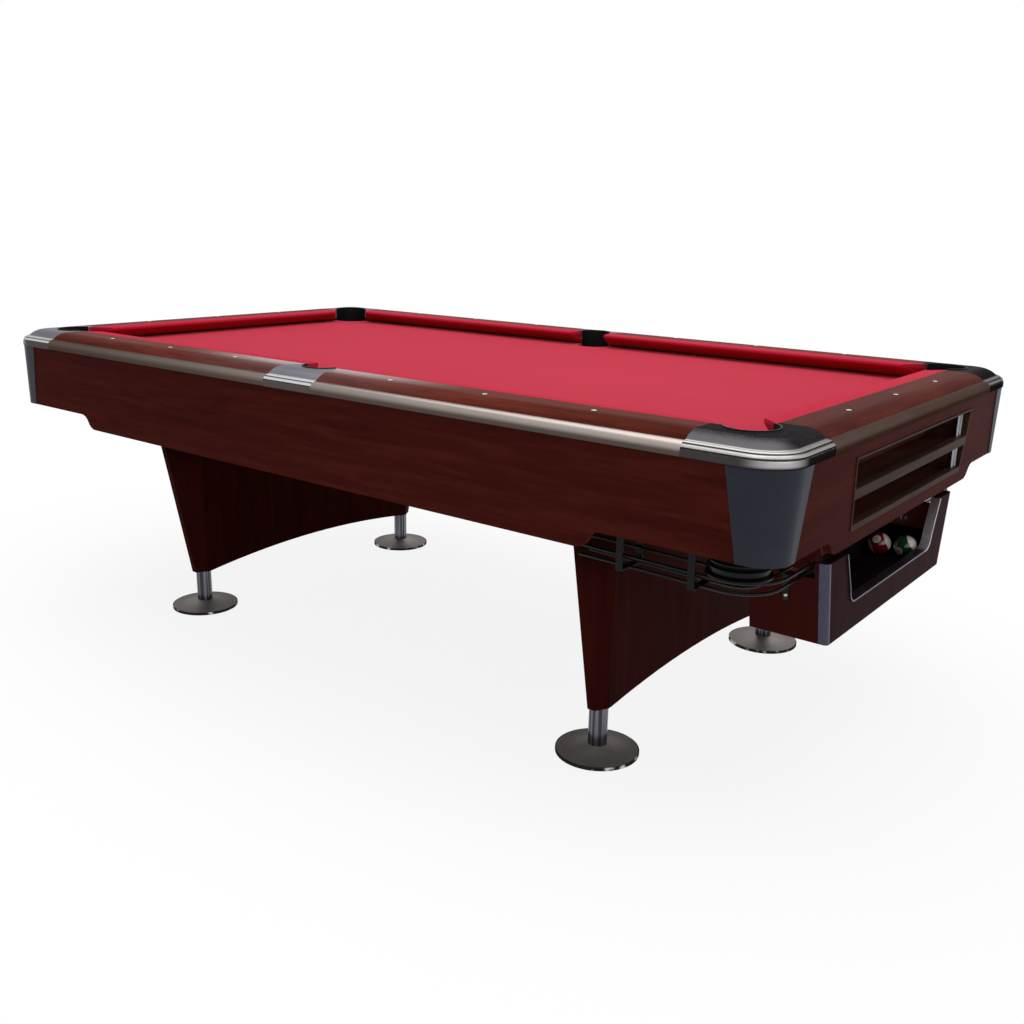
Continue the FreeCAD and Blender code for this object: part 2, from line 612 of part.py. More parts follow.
CORNER_BACK = "(cushion_depth - corner_pocket_offset)"
CORNER_MOUTH = f"({CORNER_BACK} - sqrt({CORNER_HOLE} ^ 2 - {CORNER_BACK} ^ 2)) / sqrt(2)"
corner_liner = liner("corner_liner", "corner_pocket_radius", CORNER_MOUTH, CORNER_X, CORNER_Y, 45)
side_liner = liner("side_liner", "side_pocket_radius", "cushion_depth - side_pocket_offset", "0", SIDE_Y, 90)
far_liners = [corner_liner, mirror("corner_liner_head", corner_liner, "x"), side_liner]
near_liners = [mirror(piece.Name + "_near", piece, "y") for piece in far_liners]
node(group("pocket_liners", far_liners + near_liners))


# Aprons: a leaning board cut to its stepped outline

COVER_BOTTOM = below_trim("apron_corner_depth")


def cover_leg(out, depth, leg):
    """Where a corner cover ends along a side, at a depth below the trim."""
    return f"({out} - {lean(depth)} + cover_proud - {leg})"


def apron_board(name, plane, out, low_depth, start, length):
    outer_top, outer_low = f"{out} - {lean('0')}", f"{out} - {lean(low_depth)}"
    section = [(outer_top, TRIM_BOTTOM), (outer_low, below_trim(low_depth)),
               (f"{outer_low} - apron_thickness", below_trim(low_depth)),
               (f"{outer_top} - apron_thickness", TRIM_BOTTOM)]
    return prism(name, plane, section, start, length)


def apron_face(name, plane, out_along, low_half, low_depth, length, low_shift="0"):
    """Outline seen from the front: deep part, curved steps up, slanted ends against the covers."""
    step = f"({low_depth} - apron_corner_depth)"
    sweep = f"(((ogee_run / 2) ^ 2 + ({step} / 2) ^ 2) / {step})"
    low, high = below_trim(low_depth), COVER_BOTTOM
    halves = []
    for side in (1, -1):
        low_end = f"({low_half} - ({side}) * {low_shift})"
        halves.append([
            (low_end, low), (f"{low_end} + ogee_run / 2", f"{low} + {step} / 2"),
            (f"{low_end} + ogee_run", high),
            (f"{cover_leg(out_along, 'apron_corner_depth', 'cover_bottom_leg')} - fit_gap", high),
            (f"{cover_leg(out_along, '0', 'cover_top_leg')} - fit_gap", TRIM_BOTTOM)])
    corners, arcs = both_sides(halves[0], {0: (sweep, 1), 1: (sweep, -1)}, halves[1])
    return prism(name, plane, corners, "0", length, arcs)


SIDE_LOW = "(side_apron_low_length / 2)"
END_LOW = "(end_apron_low_length / 2)"
side_board = apron_board("side_apron_board", "YZ_Plane", OUT_Y, "side_apron_depth",
                         negative(OUT_X), f"2 * {OUT_X}")
side_face = apron_face("side_apron_face", "XZ_Plane", OUT_X, SIDE_LOW, "side_apron_depth", OUT_Y,
                       "side_apron_low_shift")
far_apron = node(boolean("Common", "apron_far", side_board, side_face))
node(mirror("apron_near", far_apron, "y"))

end_board = apron_board("end_apron_board", "XZ_Plane", OUT_X, "end_apron_depth",
                        negative(OUT_Y), f"2 * {OUT_Y}")
end_face = apron_face("end_apron_face", "YZ_Plane", OUT_Y, END_LOW, "end_apron_depth", OUT_X)
end_apron = boolean("Common", "end_apron", end_board, end_face)
node(mirror("apron_head", end_apron, "x"))


# Ball rack in the foot apron

def rack_half(depth, inset="0"):
    """Half width of the rack opening at a depth below the trim."""
    slope = "((rack_top_width - rack_bottom_width) / 2 / (rack_bottom_depth - rack_top_depth))"
    return f"(rack_top_width / 2 - {slope} * ({depth} - rack_top_depth) - ({inset}))"


def rack_outline(top, bottom, inset="0"):
    """The opening between two depths, with its slanted ends moved in by inset."""
    right = [(rack_half(bottom, inset), below_trim(bottom)), (rack_half(top, inset), below_trim(top))]
    return both_sides(right, {})[0]


RACK_FRONT = f"({OUT_X} - {lean('(rack_bottom_depth + rack_wall)')} - apron_thickness)"
RACK_BACK = f"({RACK_FRONT} - rack_recess)"
RACK_MIDDLE = "((rack_top_depth + rack_bottom_depth) / 2)"
UPPER_TIER = ("(rack_top_depth + rack_bar)", f"({RACK_MIDDLE} - rack_middle_bar / 2)")
LOWER_TIER = (f"({RACK_MIDDLE} + rack_middle_bar / 2)", "(rack_bottom_depth - rack_lip)")
rack_opening = prism("rack_opening", "YZ_Plane", rack_outline("rack_top_depth", "rack_bottom_depth"),
                     RACK_BACK, f"{OUT_X} - {RACK_BACK}")
node(cut("apron_foot", end_apron, [rack_opening]))

tray_outside = prism("rack_outside", "YZ_Plane",
                     rack_outline("rack_top_depth", "(rack_bottom_depth + rack_wall)", "-rack_wall"),
                     f"{RACK_BACK} - rack_wall", "rack_recess + rack_wall")
tier_rooms = [prism(f"rack_room_{i}", "YZ_Plane", rack_outline(upper, f"({lower} + rack_shelf_rise)"),
                    RACK_BACK, "rack_recess") for i, (upper, lower) in enumerate((UPPER_TIER, LOWER_TIER))]
node(cut("rack_tray", tray_outside, tier_rooms))

FRAME_OUT = f"({OUT_X} + rack_proud)"
frame_section = [(RACK_FRONT, below_trim("rack_top_depth")), (RACK_FRONT, below_trim("rack_bottom_depth")),
                 (f"{FRAME_OUT} - {lean('rack_bottom_depth')}", below_trim("rack_bottom_depth")),
                 (f"{FRAME_OUT} - {lean('rack_top_depth')}", below_trim("rack_top_depth"))]
frame_slab = prism("rack_frame_slab", "XZ_Plane", frame_section, "-rack_top_width", "2 * rack_top_width")
frame_plate = prism("rack_frame_plate", "YZ_Plane", rack_outline("rack_top_depth", "rack_bottom_depth"),
                    RACK_FRONT, f"{FRAME_OUT} - {RACK_FRONT}")
frame_blank = boolean("Common", "rack_frame_blank", frame_plate, frame_slab)
tier_windows = [prism(f"rack_window_{i}", "YZ_Plane", rack_outline(*tier, "rack_bar"), RACK_FRONT,
                      f"{FRAME_OUT} - {RACK_FRONT}") for i, tier in enumerate((UPPER_TIER, LOWER_TIER))]
node(cut("rack_frame", frame_blank, tier_windows))

POST_X = f"({RACK_FRONT} + rack_post_diameter)"
posts = []
for i, (upper, lower) in enumerate((UPPER_TIER, LOWER_TIER)):
    narrow = f"min({rack_half(upper, 'rack_bar')}; {rack_half(lower, 'rack_bar')})"
    last = f"{narrow} - rack_post_diameter"
    for k in range(2):
        posts.append(rod(f"rack_post_{i}_{k}", "rack_post_diameter / 2", f"{lower} - {upper}", POST_X,
                         f"{last} - {k} * rack_post_step", below_trim(lower)))
node(group("rack_posts", posts))


# Corner covers: a rounded shell that tapers downwards

def cover_outline(sketch, depth, leg, radius):
    out_x, out_y = [f"({out} - {lean(depth)} + cover_proud)" for out in (OUT_X, OUT_Y)]
    in_x, in_y = f"{out_x} - cover_wall", f"{out_y} - cover_wall"
    corners = [(f"{out_x} - {leg}", in_y), (f"{out_x} - {radius}", in_y),
               (in_x, f"{out_y} - {radius}"), (in_x, f"{out_y} - {leg}"),
               (out_x, f"{out_y} - {leg}"), (out_x, f"{out_y} - {radius}"),
               (f"{out_x} - {radius}", out_y), (f"{out_x} - {leg}", out_y)]
    draw(sketch, corners, {1: (f"{radius} - cover_wall", -1), 5: (radius, 1)})


cover = doc.addObject("PartDesign::Body", "cover")
cover_bottom = sketch_on(cover, "cover_bottom_outline", "XY_Plane", COVER_BOTTOM)
cover_outline(cover_bottom, "apron_corner_depth", "cover_bottom_leg", "cover_bottom_radius")
cover_top = sketch_on(cover, "cover_top_outline", "XY_Plane", TRIM_BOTTOM)
cover_outline(cover_top, "0", "cover_top_leg", "cover_top_radius")
ruled_loft(cover, cover_bottom, cover_top)
four_corners("corner_cover", cover)


# Frame under the slates

BEAM_Y = "(beam_spread / 2)"
CROSS_WIDTH = "(beam_spread - beam_width)"
beams = [block(f"side_beam_{name}", "beam_length", "beam_width", "beam_height",
               "-beam_length / 2", f"({side}) * {BEAM_Y} - beam_width / 2", BEAM_BOTTOM)
         for name, side in (("near", -1), ("far", 1))]
BOX_BEAM_X = f"({BOX_BACK} + box_board / 2)"
cross_lines = [negative(BOX_BEAM_X), "-pedestal_spread / 2", "0", "pedestal_spread / 2", BOX_BEAM_X]
beams += [block(f"cross_beam_{i}", "beam_width", CROSS_WIDTH, "beam_height", f"{line} - beam_width / 2",
                f"-{CROSS_WIDTH} / 2", BEAM_BOTTOM) for i, line in enumerate(cross_lines)]
node(group("frame_beams", beams))


# Pedestals with an arch below, bevelled on both faces towards thin slanting ends

SHOULDER = "(pedestal_shoulder_height + pedestal_shoulder_band)"
ARCH_RADIUS = "(((arch_span / 2) ^ 2 + arch_rise ^ 2) / (2 * arch_rise))"
FOOT_X, FOOT_Y = "(pedestal_spread / 2)", "(foot_spread / 2)"
NECK_HALF = "(gully_offset - guard_gauge / 2 - wire_diameter / 2 - pedestal_gully_gap)"
pedestal_half = [("arch_span / 2", "pedestal_clearance"), ("pedestal_foot_width / 2", "pedestal_clearance"),
                 ("pedestal_shoulder_width / 2", "pedestal_shoulder_height"),
                 ("pedestal_shoulder_width / 2", SHOULDER), (NECK_HALF, SHOULDER),
                 (NECK_HALF, BEAM_BOTTOM)]
corners, arcs = both_sides(pedestal_half, {})
arcs[len(corners) - 1] = (ARCH_RADIUS, -1)
pedestal_face = prism("pedestal_face", "YZ_Plane", corners, f"{FOOT_X} - pedestal_thickness",
                      "2 * pedestal_thickness", arcs)
PEDESTAL_SLOPE = ("((pedestal_shoulder_width - pedestal_foot_width) / 2"
                  " / (pedestal_shoulder_height - pedestal_clearance))")
BEVEL_Y = "(pedestal_foot_width / 2 - bevel_run)"
PAST_END = 1.2


def bevelled_plan(body, name, height):
    """The pedestal seen from above at a height, carried on a little past its ends."""
    end = f"(pedestal_foot_width / 2 + {PEDESTAL_SLOPE} * ({height} - pedestal_clearance))"
    half, edge_half = "(pedestal_thickness / 2)", "(pedestal_edge / 2)"
    past_y = f"({BEVEL_Y} + {PAST_END} * ({end} - {BEVEL_Y}))"
    past_half = f"({half} - {PAST_END} * ({half} - {edge_half}))"
    far = [(f"{FOOT_X} + {half}", BEVEL_Y), (f"{FOOT_X} + {past_half}", past_y),
           (f"{FOOT_X} - {past_half}", past_y), (f"{FOOT_X} - {half}", BEVEL_Y)]
    sketch = sketch_on(body, name, "XY_Plane", height)
    draw(sketch, far + [(across, negative(along)) for across, along in reversed(far)])
    return sketch


core = doc.addObject("PartDesign::Body", "pedestal_core")
ruled_loft(core, bevelled_plan(core, "pedestal_low_plan", "(pedestal_clearance - pedestal_edge)"),
           bevelled_plan(core, "pedestal_high_plan", SLATE_BOTTOM))
pedestal = boolean("Common", "pedestal_board", core, pedestal_face)
bores = [rod(f"stem_bore_{side}", "stem_diameter / 2 + fit_gap", "stem_length + fit_gap", FOOT_X,
             f"({side}) * {FOOT_Y}", "pedestal_clearance") for side in (-1, 1)]
foot_pedestal = node(cut("pedestal_foot", pedestal, bores))
node(mirror("pedestal_head", foot_pedestal, "x"))


# Levellers: a post with its screw, on a dished disc

STEM_TOP = "(pedestal_clearance + stem_length)"
post_section = [("0", "disc_height"), ("post_diameter / 2", "disc_height"),
                ("post_diameter / 2", "pedestal_clearance"), ("stem_diameter / 2", "pedestal_clearance"),
                ("stem_diameter / 2", STEM_TOP), ("0", STEM_TOP)]
disc_section = [("0", "0"), ("disc_diameter / 2", "0"), ("disc_diameter / 2", "disc_rim"),
                ("post_diameter / 2", "disc_height"), ("0", "disc_height")]
four_corners("leveller_post", place(turned("leveller_post", post_section, 360), FOOT_X, FOOT_Y))
four_corners("leveller_disc", place(turned("leveller_disc", disc_section, 360, {2: ("disc_dish_radius", -1)}),
                                    FOOT_X, FOOT_Y))


# Ball gullies: four wires on straps under the slates, a lower run behind the foot pedestal, then a bend

TURN_X = f"({CORNER_X} - gully_turn_lead)"
TURN_Y = "(gully_offset - gully_turn_radius)"
GULLY_START = f"-({CORNER_X} + {CORNER_HOLE})"
BOX_WALL = f"(box_foot_width / 2 + {BOX_FLARE} * box_side_height)"
GULLY_END = f"({BOX_WALL} - gully_overlap)"
WIRES = ((-1, "gully_gauge", "0"), (1, "gully_gauge", "0"), (-1, "guard_gauge", "guard_rise"),
         (1, "guard_gauge", "guard_rise"))
SEAT = "(wire_diameter / 2 + fit_gap)"
GULLY_ROOM = f"(guard_gauge + 2 * {SEAT})"


def tilted(obj, angle):
    obj.Placement.Rotation = FreeCAD.Rotation(FreeCAD.Vector(0, 1, 0), mm(angle))
    obj.setExpression("Placement.Rotation.Angle", bound(angle))
    return obj


def fallen(along, rise, drop):
    """The x and the z of a point along the fall, a rise above the lower wires."""
    return (f"({along}) * cos(gully_angle) + {rise} * sin(gully_angle)",
            f"gully_height - {drop} - ({along}) * sin(gully_angle) + {rise} * cos(gully_angle)")


def wire_run(name, start, end, drop):
    """Four straight wires between two places along the fall."""
    wires = []
    for i, (side, gauge, rise) in enumerate(WIRES):
        x, z = fallen(start, rise, drop)
        y = f"gully_offset + ({side}) * {gauge} / 2"
        wire = rod(f"{name}_wire_{i}", "wire_diameter / 2", f"{end} - ({start})", x, y, z)
        wires.append(tilted(wire, "90 + gully_angle"))
    return wires


def wire_bend(drop):
    """Four wires round the foot corner, then across into the ball box."""
    wires = []
    for i, (side, gauge, rise) in enumerate(WIRES):
        radius = f"(gully_turn_radius + ({side}) * {gauge} / 2)"
        bend = doc.addObject("Part::Torus", f"bend_wire_{i}")
        bend.setExpression("Radius1", bound(radius))
        bend.setExpression("Radius2", bound("wire_diameter / 2"))
        bend.Angle3 = 90
        x, z = fallen(TURN_X, rise, drop)
        wires.append(place(tilted(bend, "gully_angle"), x, TURN_Y, z))
        x, z = fallen(f"{TURN_X} + {radius}", rise, drop)
        tail = rod(f"tail_wire_{i}", "wire_diameter / 2", f"{TURN_Y} - {GULLY_END}", x, TURN_Y, z)
        tail.Placement.Rotation = FreeCAD.Rotation(FreeCAD.Vector(1, 0, 0), 90)
        wires.append(tail)
    return wires


gully_pieces = wire_run("upper_run", GULLY_START, "(drop_start + wire_lap)", "0")
gully_pieces += wire_run("lower_run", "drop_start", TURN_X, "gully_drop")
gully_pieces += wire_bend("gully_drop")


def hanger(name, line, drop="0"):
    """A bar under the gully, and the two legs that it hangs by from the slate."""
    span = f"({GULLY_ROOM} + 2 * hanger_thickness)"
    low_side = f"({line} + hanger_width / 2)"
    x, y = f"({line} - hanger_width / 2)", f"(gully_offset - {span} / 2)"
    z = (f"(gully_height - {drop} - {low_side} * tan(gully_angle) - {SEAT} / cos(gully_angle)"
         " - fit_gap - hanger_thickness)")
    bar = block(name + "_bar", "hanger_width", span, "hanger_thickness", x, y, z)
    leg_z = f"({z} + hanger_thickness)"
    legs = [block(f"{name}_leg_{i}", "hanger_width", "hanger_thickness", f"{SLATE_BOTTOM} - {leg_z}",
                  x, leg_y, leg_z) for i, leg_y in enumerate((y, f"{y} + {span} - hanger_thickness"))]
    return [bar] + legs


for k in (-3, -2, -1, 1, 2):
    gully_pieces += hanger(f"hanger_{k + 3}", f"({k}) * hanger_step")
gully_pieces += hanger("hanger_drop", "(drop_start + drop_hanger_lead)", "gully_drop")
gully_pieces += hanger("hanger_bend", f"({TURN_X} - bend_hanger_lead)", "gully_drop")
far_gully = node(group("gully_far", gully_pieces))
node(mirror("gully_near", far_gully, "y"))


# Ball box under the foot apron

def box_half(height, inset="0"):
    """Half width of the flared box at a height above its bottom."""
    return f"(box_foot_width / 2 + {BOX_FLARE} * ({height}) - ({inset}))"


SIDE_TOP = "(box_bottom + box_side_height)"
FLOOR_HALF = box_half("0", "box_board")
side_section = [(box_half("0"), "box_bottom"), (box_half("box_side_height"), SIDE_TOP),
                (box_half("box_side_height", "box_board"), SIDE_TOP), (FLOOR_HALF, "box_bottom")]
far_side = prism("box_side_far", "YZ_Plane", side_section, BOX_BACK, f"{BOX_INSIDE} - {BOX_BACK}")
near_side = mirror("box_side_near", far_side, "y")
floor_section = both_sides([(FLOOR_HALF, "box_bottom"),
                            (box_half("box_board", "box_board"), "box_bottom + box_board")], {})[0]
floor = prism("box_floor", "YZ_Plane", floor_section, BOX_BACK, f"{BOX_INSIDE} - {BOX_BACK}")
back = block("box_back", "box_board", f"2 * {FLOOR_HALF}", f"{BEAM_BOTTOM} - box_bottom",
             BOX_BACK, negative(FLOOR_HALF), "box_bottom")
carcass = fuse("box_carcass", [far_side, near_side, floor, back])
NOTCH_WIDTH = f"({GULLY_ROOM} + 2 * notch_room)"
NOTCH_X = f"({TURN_X} + gully_turn_radius - {NOTCH_WIDTH} / 2)"
NOTCH_Z = (f"(gully_height - gully_drop - ({NOTCH_X} + {NOTCH_WIDTH}) * tan(gully_angle)"
           f" - {SEAT} / cos(gully_angle) - notch_room)")
notch = block("gully_notch", NOTCH_WIDTH, f"2 * {BOX_WALL}", f"{SIDE_TOP} - {NOTCH_Z}", NOTCH_X,
              negative(BOX_WALL), NOTCH_Z)
node(cut("ball_box_carcass", carcass, [notch]))

MOUTH_HALF = "(mouth_bottom_width / 2)"
LIP = "(box_bottom + mouth_lip)"


def mouth_outline(inset):
    """The U-shaped mouth: flared sides, rounded lower corners, open at the top."""
    half = [(f"{MOUTH_HALF} - mouth_radius", f"{LIP} + {inset}"),
            (f"{MOUTH_HALF} - {inset}", f"{LIP} + mouth_radius"),
            (f"mouth_top_width / 2 - {inset}", SIDE_TOP)]
    return both_sides(half, {0: (f"mouth_radius - {inset}", 1)})


front_half = [(box_half("0", "strip_width"), "box_bottom"),
              (box_half("box_side_height", "strip_width"), SIDE_TOP)]
front_board = prism("box_front_board", "YZ_Plane", both_sides(front_half, {})[0], BOX_INSIDE, "box_board")
corners, arcs = mouth_outline("0")
mouth_cut = prism("box_mouth", "YZ_Plane", corners, BOX_INSIDE, "box_board + mouth_lining_proud", arcs)
node(cut("ball_box_front", front_board, [mouth_cut]))
corners, arcs = mouth_outline("mouth_lining")
mouth_room = prism("box_mouth_room", "YZ_Plane", corners, BOX_INSIDE, "box_board + mouth_lining_proud", arcs)
lining = cut("mouth_lining", mouth_cut, [mouth_room])

strip_section = [(box_half("0", "strip_width"), "box_bottom"), (box_half("0"), "box_bottom"),
                 (box_half("box_side_height"), SIDE_TOP),
                 (box_half("box_side_height", "strip_width"), SIDE_TOP)]
far_strip = prism("box_strip_far", "YZ_Plane", strip_section, BOX_INSIDE, "box_board")
STRIP_EDGE = [mm(box_half("0")), mm(box_half("box_side_height"))]
round_edges(far_strip, "strip_radius",
            lambda edge: spans(edge, "X", [mm(BOX_FRONT)] * 2) and spans(edge, "Y", STRIP_EDGE))
node(group("ball_box_trim", [lining, far_strip, mirror("box_strip_near", far_strip, "y")]))

tray_half = box_half("tray_floor", "box_board + fit_gap")
tray_rim = box_half("tray_floor + tray_depth", "box_board + fit_gap")
TRAY_BASE = f"({TRAY_TOP} - tray_wall)"
TRAY_RIM = f"({TRAY_TOP} + tray_depth)"
tray_outer = both_sides([(f"{tray_half} - {BOX_FLARE} * tray_wall", TRAY_BASE), (tray_rim, TRAY_RIM)], {})[0]
tray_inner = both_sides([(f"{tray_half} - tray_wall", TRAY_TOP),
                         (f"{tray_rim} - tray_wall", TRAY_RIM)], {})[0]
TRAY_BACK = f"({BOX_BACK} + box_board)"
tray_blank = prism("tray_blank", "YZ_Plane", tray_outer, TRAY_BACK, f"{BOX_INSIDE} - {TRAY_BACK}")
tray_room = prism("tray_room", "YZ_Plane", tray_inner, f"{TRAY_BACK} + tray_wall",
                  f"{BOX_INSIDE} - {TRAY_BACK} - tray_wall")
tray_support = block("tray_support", f"{BOX_INSIDE} - {TRAY_BACK}", FLOOR_HALF,
                     f"{TRAY_BASE} - box_bottom - box_board", TRAY_BACK, f"-{FLOOR_HALF} / 2",
                     "box_bottom + box_board")
node(fuse("ball_tray", [cut("tray_shell", tray_blank, [tray_room]), tray_support]))


# Balls in the tray

BALL_Z = f"({TRAY_TOP} + ball_diameter / 2 + fit_gap)"
GREEN_X = f"({BOX_INSIDE} - front_ball_setback)"
for name, x, y in (("ball_green_stripe", GREEN_X, "green_ball_across"),
                   ("ball_maroon_stripe", f"{GREEN_X} - ball_line_gap", "maroon_ball_across")):
    ball = doc.addObject("Part::Sphere", name)
    ball.setExpression("Radius", bound("ball_diameter / 2"))
    node(place(ball, x, y, BALL_Z))


# Lock on the inside of the box's far wall

LOCK_X = f"({BOX_FRONT} - lock_setback)"
LOCK_Z = "(box_bottom + lock_height)"
LOCK_Y = box_half("lock_height", "box_board")
LOCK_TILT = f"atan({BOX_FLARE})"


def on_far_wall(obj):
    """Stands a round piece on the leaning wall, pointing into the box."""
    obj.Placement.Rotation = FreeCAD.Rotation(FreeCAD.Vector(1, 0, 0), 90 - mm(LOCK_TILT))
    obj.setExpression("Placement.Rotation.Angle", bound(f"90 deg - {LOCK_TILT}"))
    return place(obj, LOCK_X, LOCK_Y, LOCK_Z)


ring_blank = rod("lock_ring_blank", "lock_diameter / 2", "lock_ring_height")
ring_bore = rod("lock_ring_bore", "plug_diameter / 2 + fit_gap", "lock_ring_height")
node(on_far_wall(cut("lock_ring", ring_blank, [ring_bore])))
plug_blank = rod("lock_plug_blank", "plug_diameter / 2", "plug_height")
key_slot = block("key_slot", "key_slot_width", "key_slot_length", "key_slot_depth", "-key_slot_width / 2",
                 "-key_slot_length / 2", "plug_height - key_slot_depth")
node(on_far_wall(cut("lock_plug", plug_blank, [key_slot])))


# Check every object, then write one file for each piece

doc.recompute()
broken = [obj.Label for obj in doc.Objects if "Invalid" in obj.State or "Error" in obj.State]
if broken:
    raise RuntimeError("these objects failed: " + ", ".join(broken))
for piece in nodes:
    if piece.Shape.isNull() or not piece.Shape.isValid() or not piece.Shape.Solids:
        raise RuntimeError(piece.Label + " has no valid solid")

os.makedirs("parts", exist_ok=True)
for piece in nodes:
    piece.Shape.exportStep(f"parts/{piece.Label}.step")
print(len(nodes), "pieces written")
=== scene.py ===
# %% [markdown]
# # A pocket billiards table with a ball return
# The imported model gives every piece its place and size, in metres, with the foot end at +X and the near
# side at -Y. This notebook gives the pieces their looks: cloth on the bed and the cushions, polished
# mahogany, cast metal, black plastic and chrome. Each step says what the real thing is before it is made.

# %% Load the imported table
import math

import bmesh
import bpy
from mathutils import Matrix, Vector


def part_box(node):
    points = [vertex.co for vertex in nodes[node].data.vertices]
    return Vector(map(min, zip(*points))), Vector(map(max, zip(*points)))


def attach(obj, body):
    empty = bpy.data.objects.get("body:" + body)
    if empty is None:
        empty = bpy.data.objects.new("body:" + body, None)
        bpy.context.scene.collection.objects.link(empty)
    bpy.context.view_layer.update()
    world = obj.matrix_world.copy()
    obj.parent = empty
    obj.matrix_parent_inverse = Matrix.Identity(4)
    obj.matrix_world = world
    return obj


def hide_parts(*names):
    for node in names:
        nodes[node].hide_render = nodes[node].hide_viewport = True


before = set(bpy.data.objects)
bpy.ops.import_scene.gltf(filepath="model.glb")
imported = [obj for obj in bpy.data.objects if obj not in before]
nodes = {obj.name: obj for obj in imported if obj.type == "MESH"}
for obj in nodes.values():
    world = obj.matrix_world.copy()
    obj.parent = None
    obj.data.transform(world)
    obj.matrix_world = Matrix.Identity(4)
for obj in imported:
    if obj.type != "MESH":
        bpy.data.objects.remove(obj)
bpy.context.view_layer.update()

# %% [markdown]
# ## Camera
# The eye point, the three angles and the lens were found by matching corners of the table with their
# places in the photograph. A camera looks down its own -Z, so it is tipped up from the floor about X,
# turned round the table about Z, and rolled about its own axis.

# %% Camera
EYE = (1.9907, -2.4017, 1.2211)
AZIMUTH, ELEVATION, ROLL = (math.radians(angle) for angle in (37.70, 15.47, 1.23))
LENS, SENSOR = 37.557, 36.0

camera = bpy.data.objects.new("camera", bpy.data.cameras.new("camera"))
camera.data.lens = LENS
camera.data.sensor_width = SENSOR
tipped = Matrix.Rotation(AZIMUTH, 3, "Z") @ Matrix.Rotation(math.pi / 2 - ELEVATION, 3, "X")
camera.rotation_euler = (tipped @ Matrix.Rotation(ROLL, 3, "Z")).to_euler()
camera.location = EYE
bpy.context.scene.collection.objects.link(camera)
bpy.context.scene.camera = camera
bpy.context.scene.view_settings.view_transform = "Standard"
print("camera at", EYE, "with a lens of", LENS, "mm")

# %% [markdown]
# ## Finishes
# A finish is a Principled shader with a few nodes in front of it. Shader maths reads best as ordinary
# arithmetic, so a small class wraps an output socket and turns each operator into a Math node. Every other
# node comes from one method, which takes its type, its settings and its sockets. The world uses it too.

# %% Sockets that take part in arithmetic
class Value:
    """An output socket in a node tree. Arithmetic on it adds Math nodes."""

    def __init__(self, wiring, socket):
        self.wiring = wiring
        self.socket = socket

    def math(self, operation, first, second=0.0):
        return self.wiring.node("ShaderNodeMath", {"operation": operation}, {0: first, 1: second})

    def __add__(self, other):
        return self.math("ADD", self, other)

    def __sub__(self, other):
        return self.math("SUBTRACT", self, other)

    def __rsub__(self, other):
        return self.math("SUBTRACT", other, self)

    def __mul__(self, other):
        return self.math("MULTIPLY", self, other)

    def __lt__(self, other):
        return self.math("LESS_THAN", self, other)

    def __abs__(self):
        return self.math("ABSOLUTE", self)

    __radd__ = __add__
    __rmul__ = __mul__


print("values can be added, subtracted, multiplied and compared")

# %% Nodes of a tree
def pick(sockets, name):
    """A socket by its number or its name; some nodes hold several of one name, of which one is in use."""
    if isinstance(name, int):
        return sockets[name]
    return next(socket for socket in sockets if socket.enabled and name in (None, socket.name))


def set_stops(points, stops):
    """Gives a colour ramp its stops. A new ramp already has two points."""
    for number, (place, colour) in enumerate(stops):
        point = points[number] if number < len(points) else points.new(place)
        point.position = place
        point.color = colour


class Wiring:
    """The nodes of one tree, with one way to add them and one way to join them."""

    def __init__(self, tree):
        self.tree = tree

    def join(self, value, socket):
        if isinstance(value, Value):
            self.tree.links.new(value.socket, socket)
        else:
            socket.default_value = value

    def node(self, kind, settings, sockets, output=None):
        made = self.tree.nodes.new(kind)
        for name, setting in settings.items():
            if name == "stops":
                set_stops(made.color_ramp.elements, setting)
            else:
                setattr(made, name, setting)
        for name, value in sockets.items():
            self.join(value, pick(made.inputs, name))
        return Value(self, pick(made.outputs, output))


print("any tree takes nodes in one way")

# %% A finish
class Finish(Wiring):
    """A material: a Principled shader and the nodes that feed it."""

    def __init__(self, title, constants):
        self.material = bpy.data.materials.new(title)
        self.material.use_nodes = True
        super().__init__(self.material.node_tree)
        self.shader = self.tree.nodes["Principled BSDF"]
        self.feed(constants)

    def feed(self, sockets):
        for name, value in sockets.items():
            self.join(value, self.shader.inputs[name])


print("a finish is a shader with its nodes")

# %% [markdown]
# Some groups of nodes come back in many finishes: the place on the table, a noise, a blend of two colours,
# a bump, and a rounded edge. The edges of the imported pieces are sharp, and real ones are broken. A bevel on
# every mesh would change the imported pieces, so the Bevel node bends the shading normal near an edge instead,
# and the bend also gives a mask where the edges are painted paler: partly wear, partly a painted highlight.

# %% Colours and places
def rgb(red, green, blue):
    """A colour as a screen shows it, from 0 to 255, made linear for the shader."""
    shares = [level / 255 for level in (red, green, blue)]
    linear = [s / 12.92 if s <= 0.04045 else ((s + 0.055) / 1.055) ** 2.4 for s in shares]
    return (*linear, 1.0)


def place_on(finish, stretch=(1, 1, 1), shift=(0, 0, 0)):
    place = finish.node("ShaderNodeTexCoord", {}, {}, "Object")
    return finish.node("ShaderNodeMapping", {}, {"Vector": place, "Location": shift, "Scale": stretch})


def axes(finish, vector):
    return [finish.node("ShaderNodeSeparateXYZ", {}, {"Vector": vector}, axis) for axis in "XYZ"]


def vector_math(finish, operation, *vectors):
    """A Vector Math node. Lengths and dot products are numbers, the others are vectors."""
    output = "Value" if operation in ("LENGTH", "DOT_PRODUCT") else "Vector"
    return finish.node("ShaderNodeVectorMath", {"operation": operation}, dict(enumerate(vectors)), output)


print("mahogany red, for one, is", [round(level, 3) for level in rgb(96, 36, 28)])

# %% Patterns that several finishes share
EDGE_SAMPLES = 4
EDGE_BEND = 0.02, 0.25


def noise(finish, vector, scale, detail=3.0, distortion=0.0):
    sockets = {"Vector": vector, "Scale": scale, "Detail": detail, "Distortion": distortion}
    return finish.node("ShaderNodeTexNoise", {}, sockets, 0)


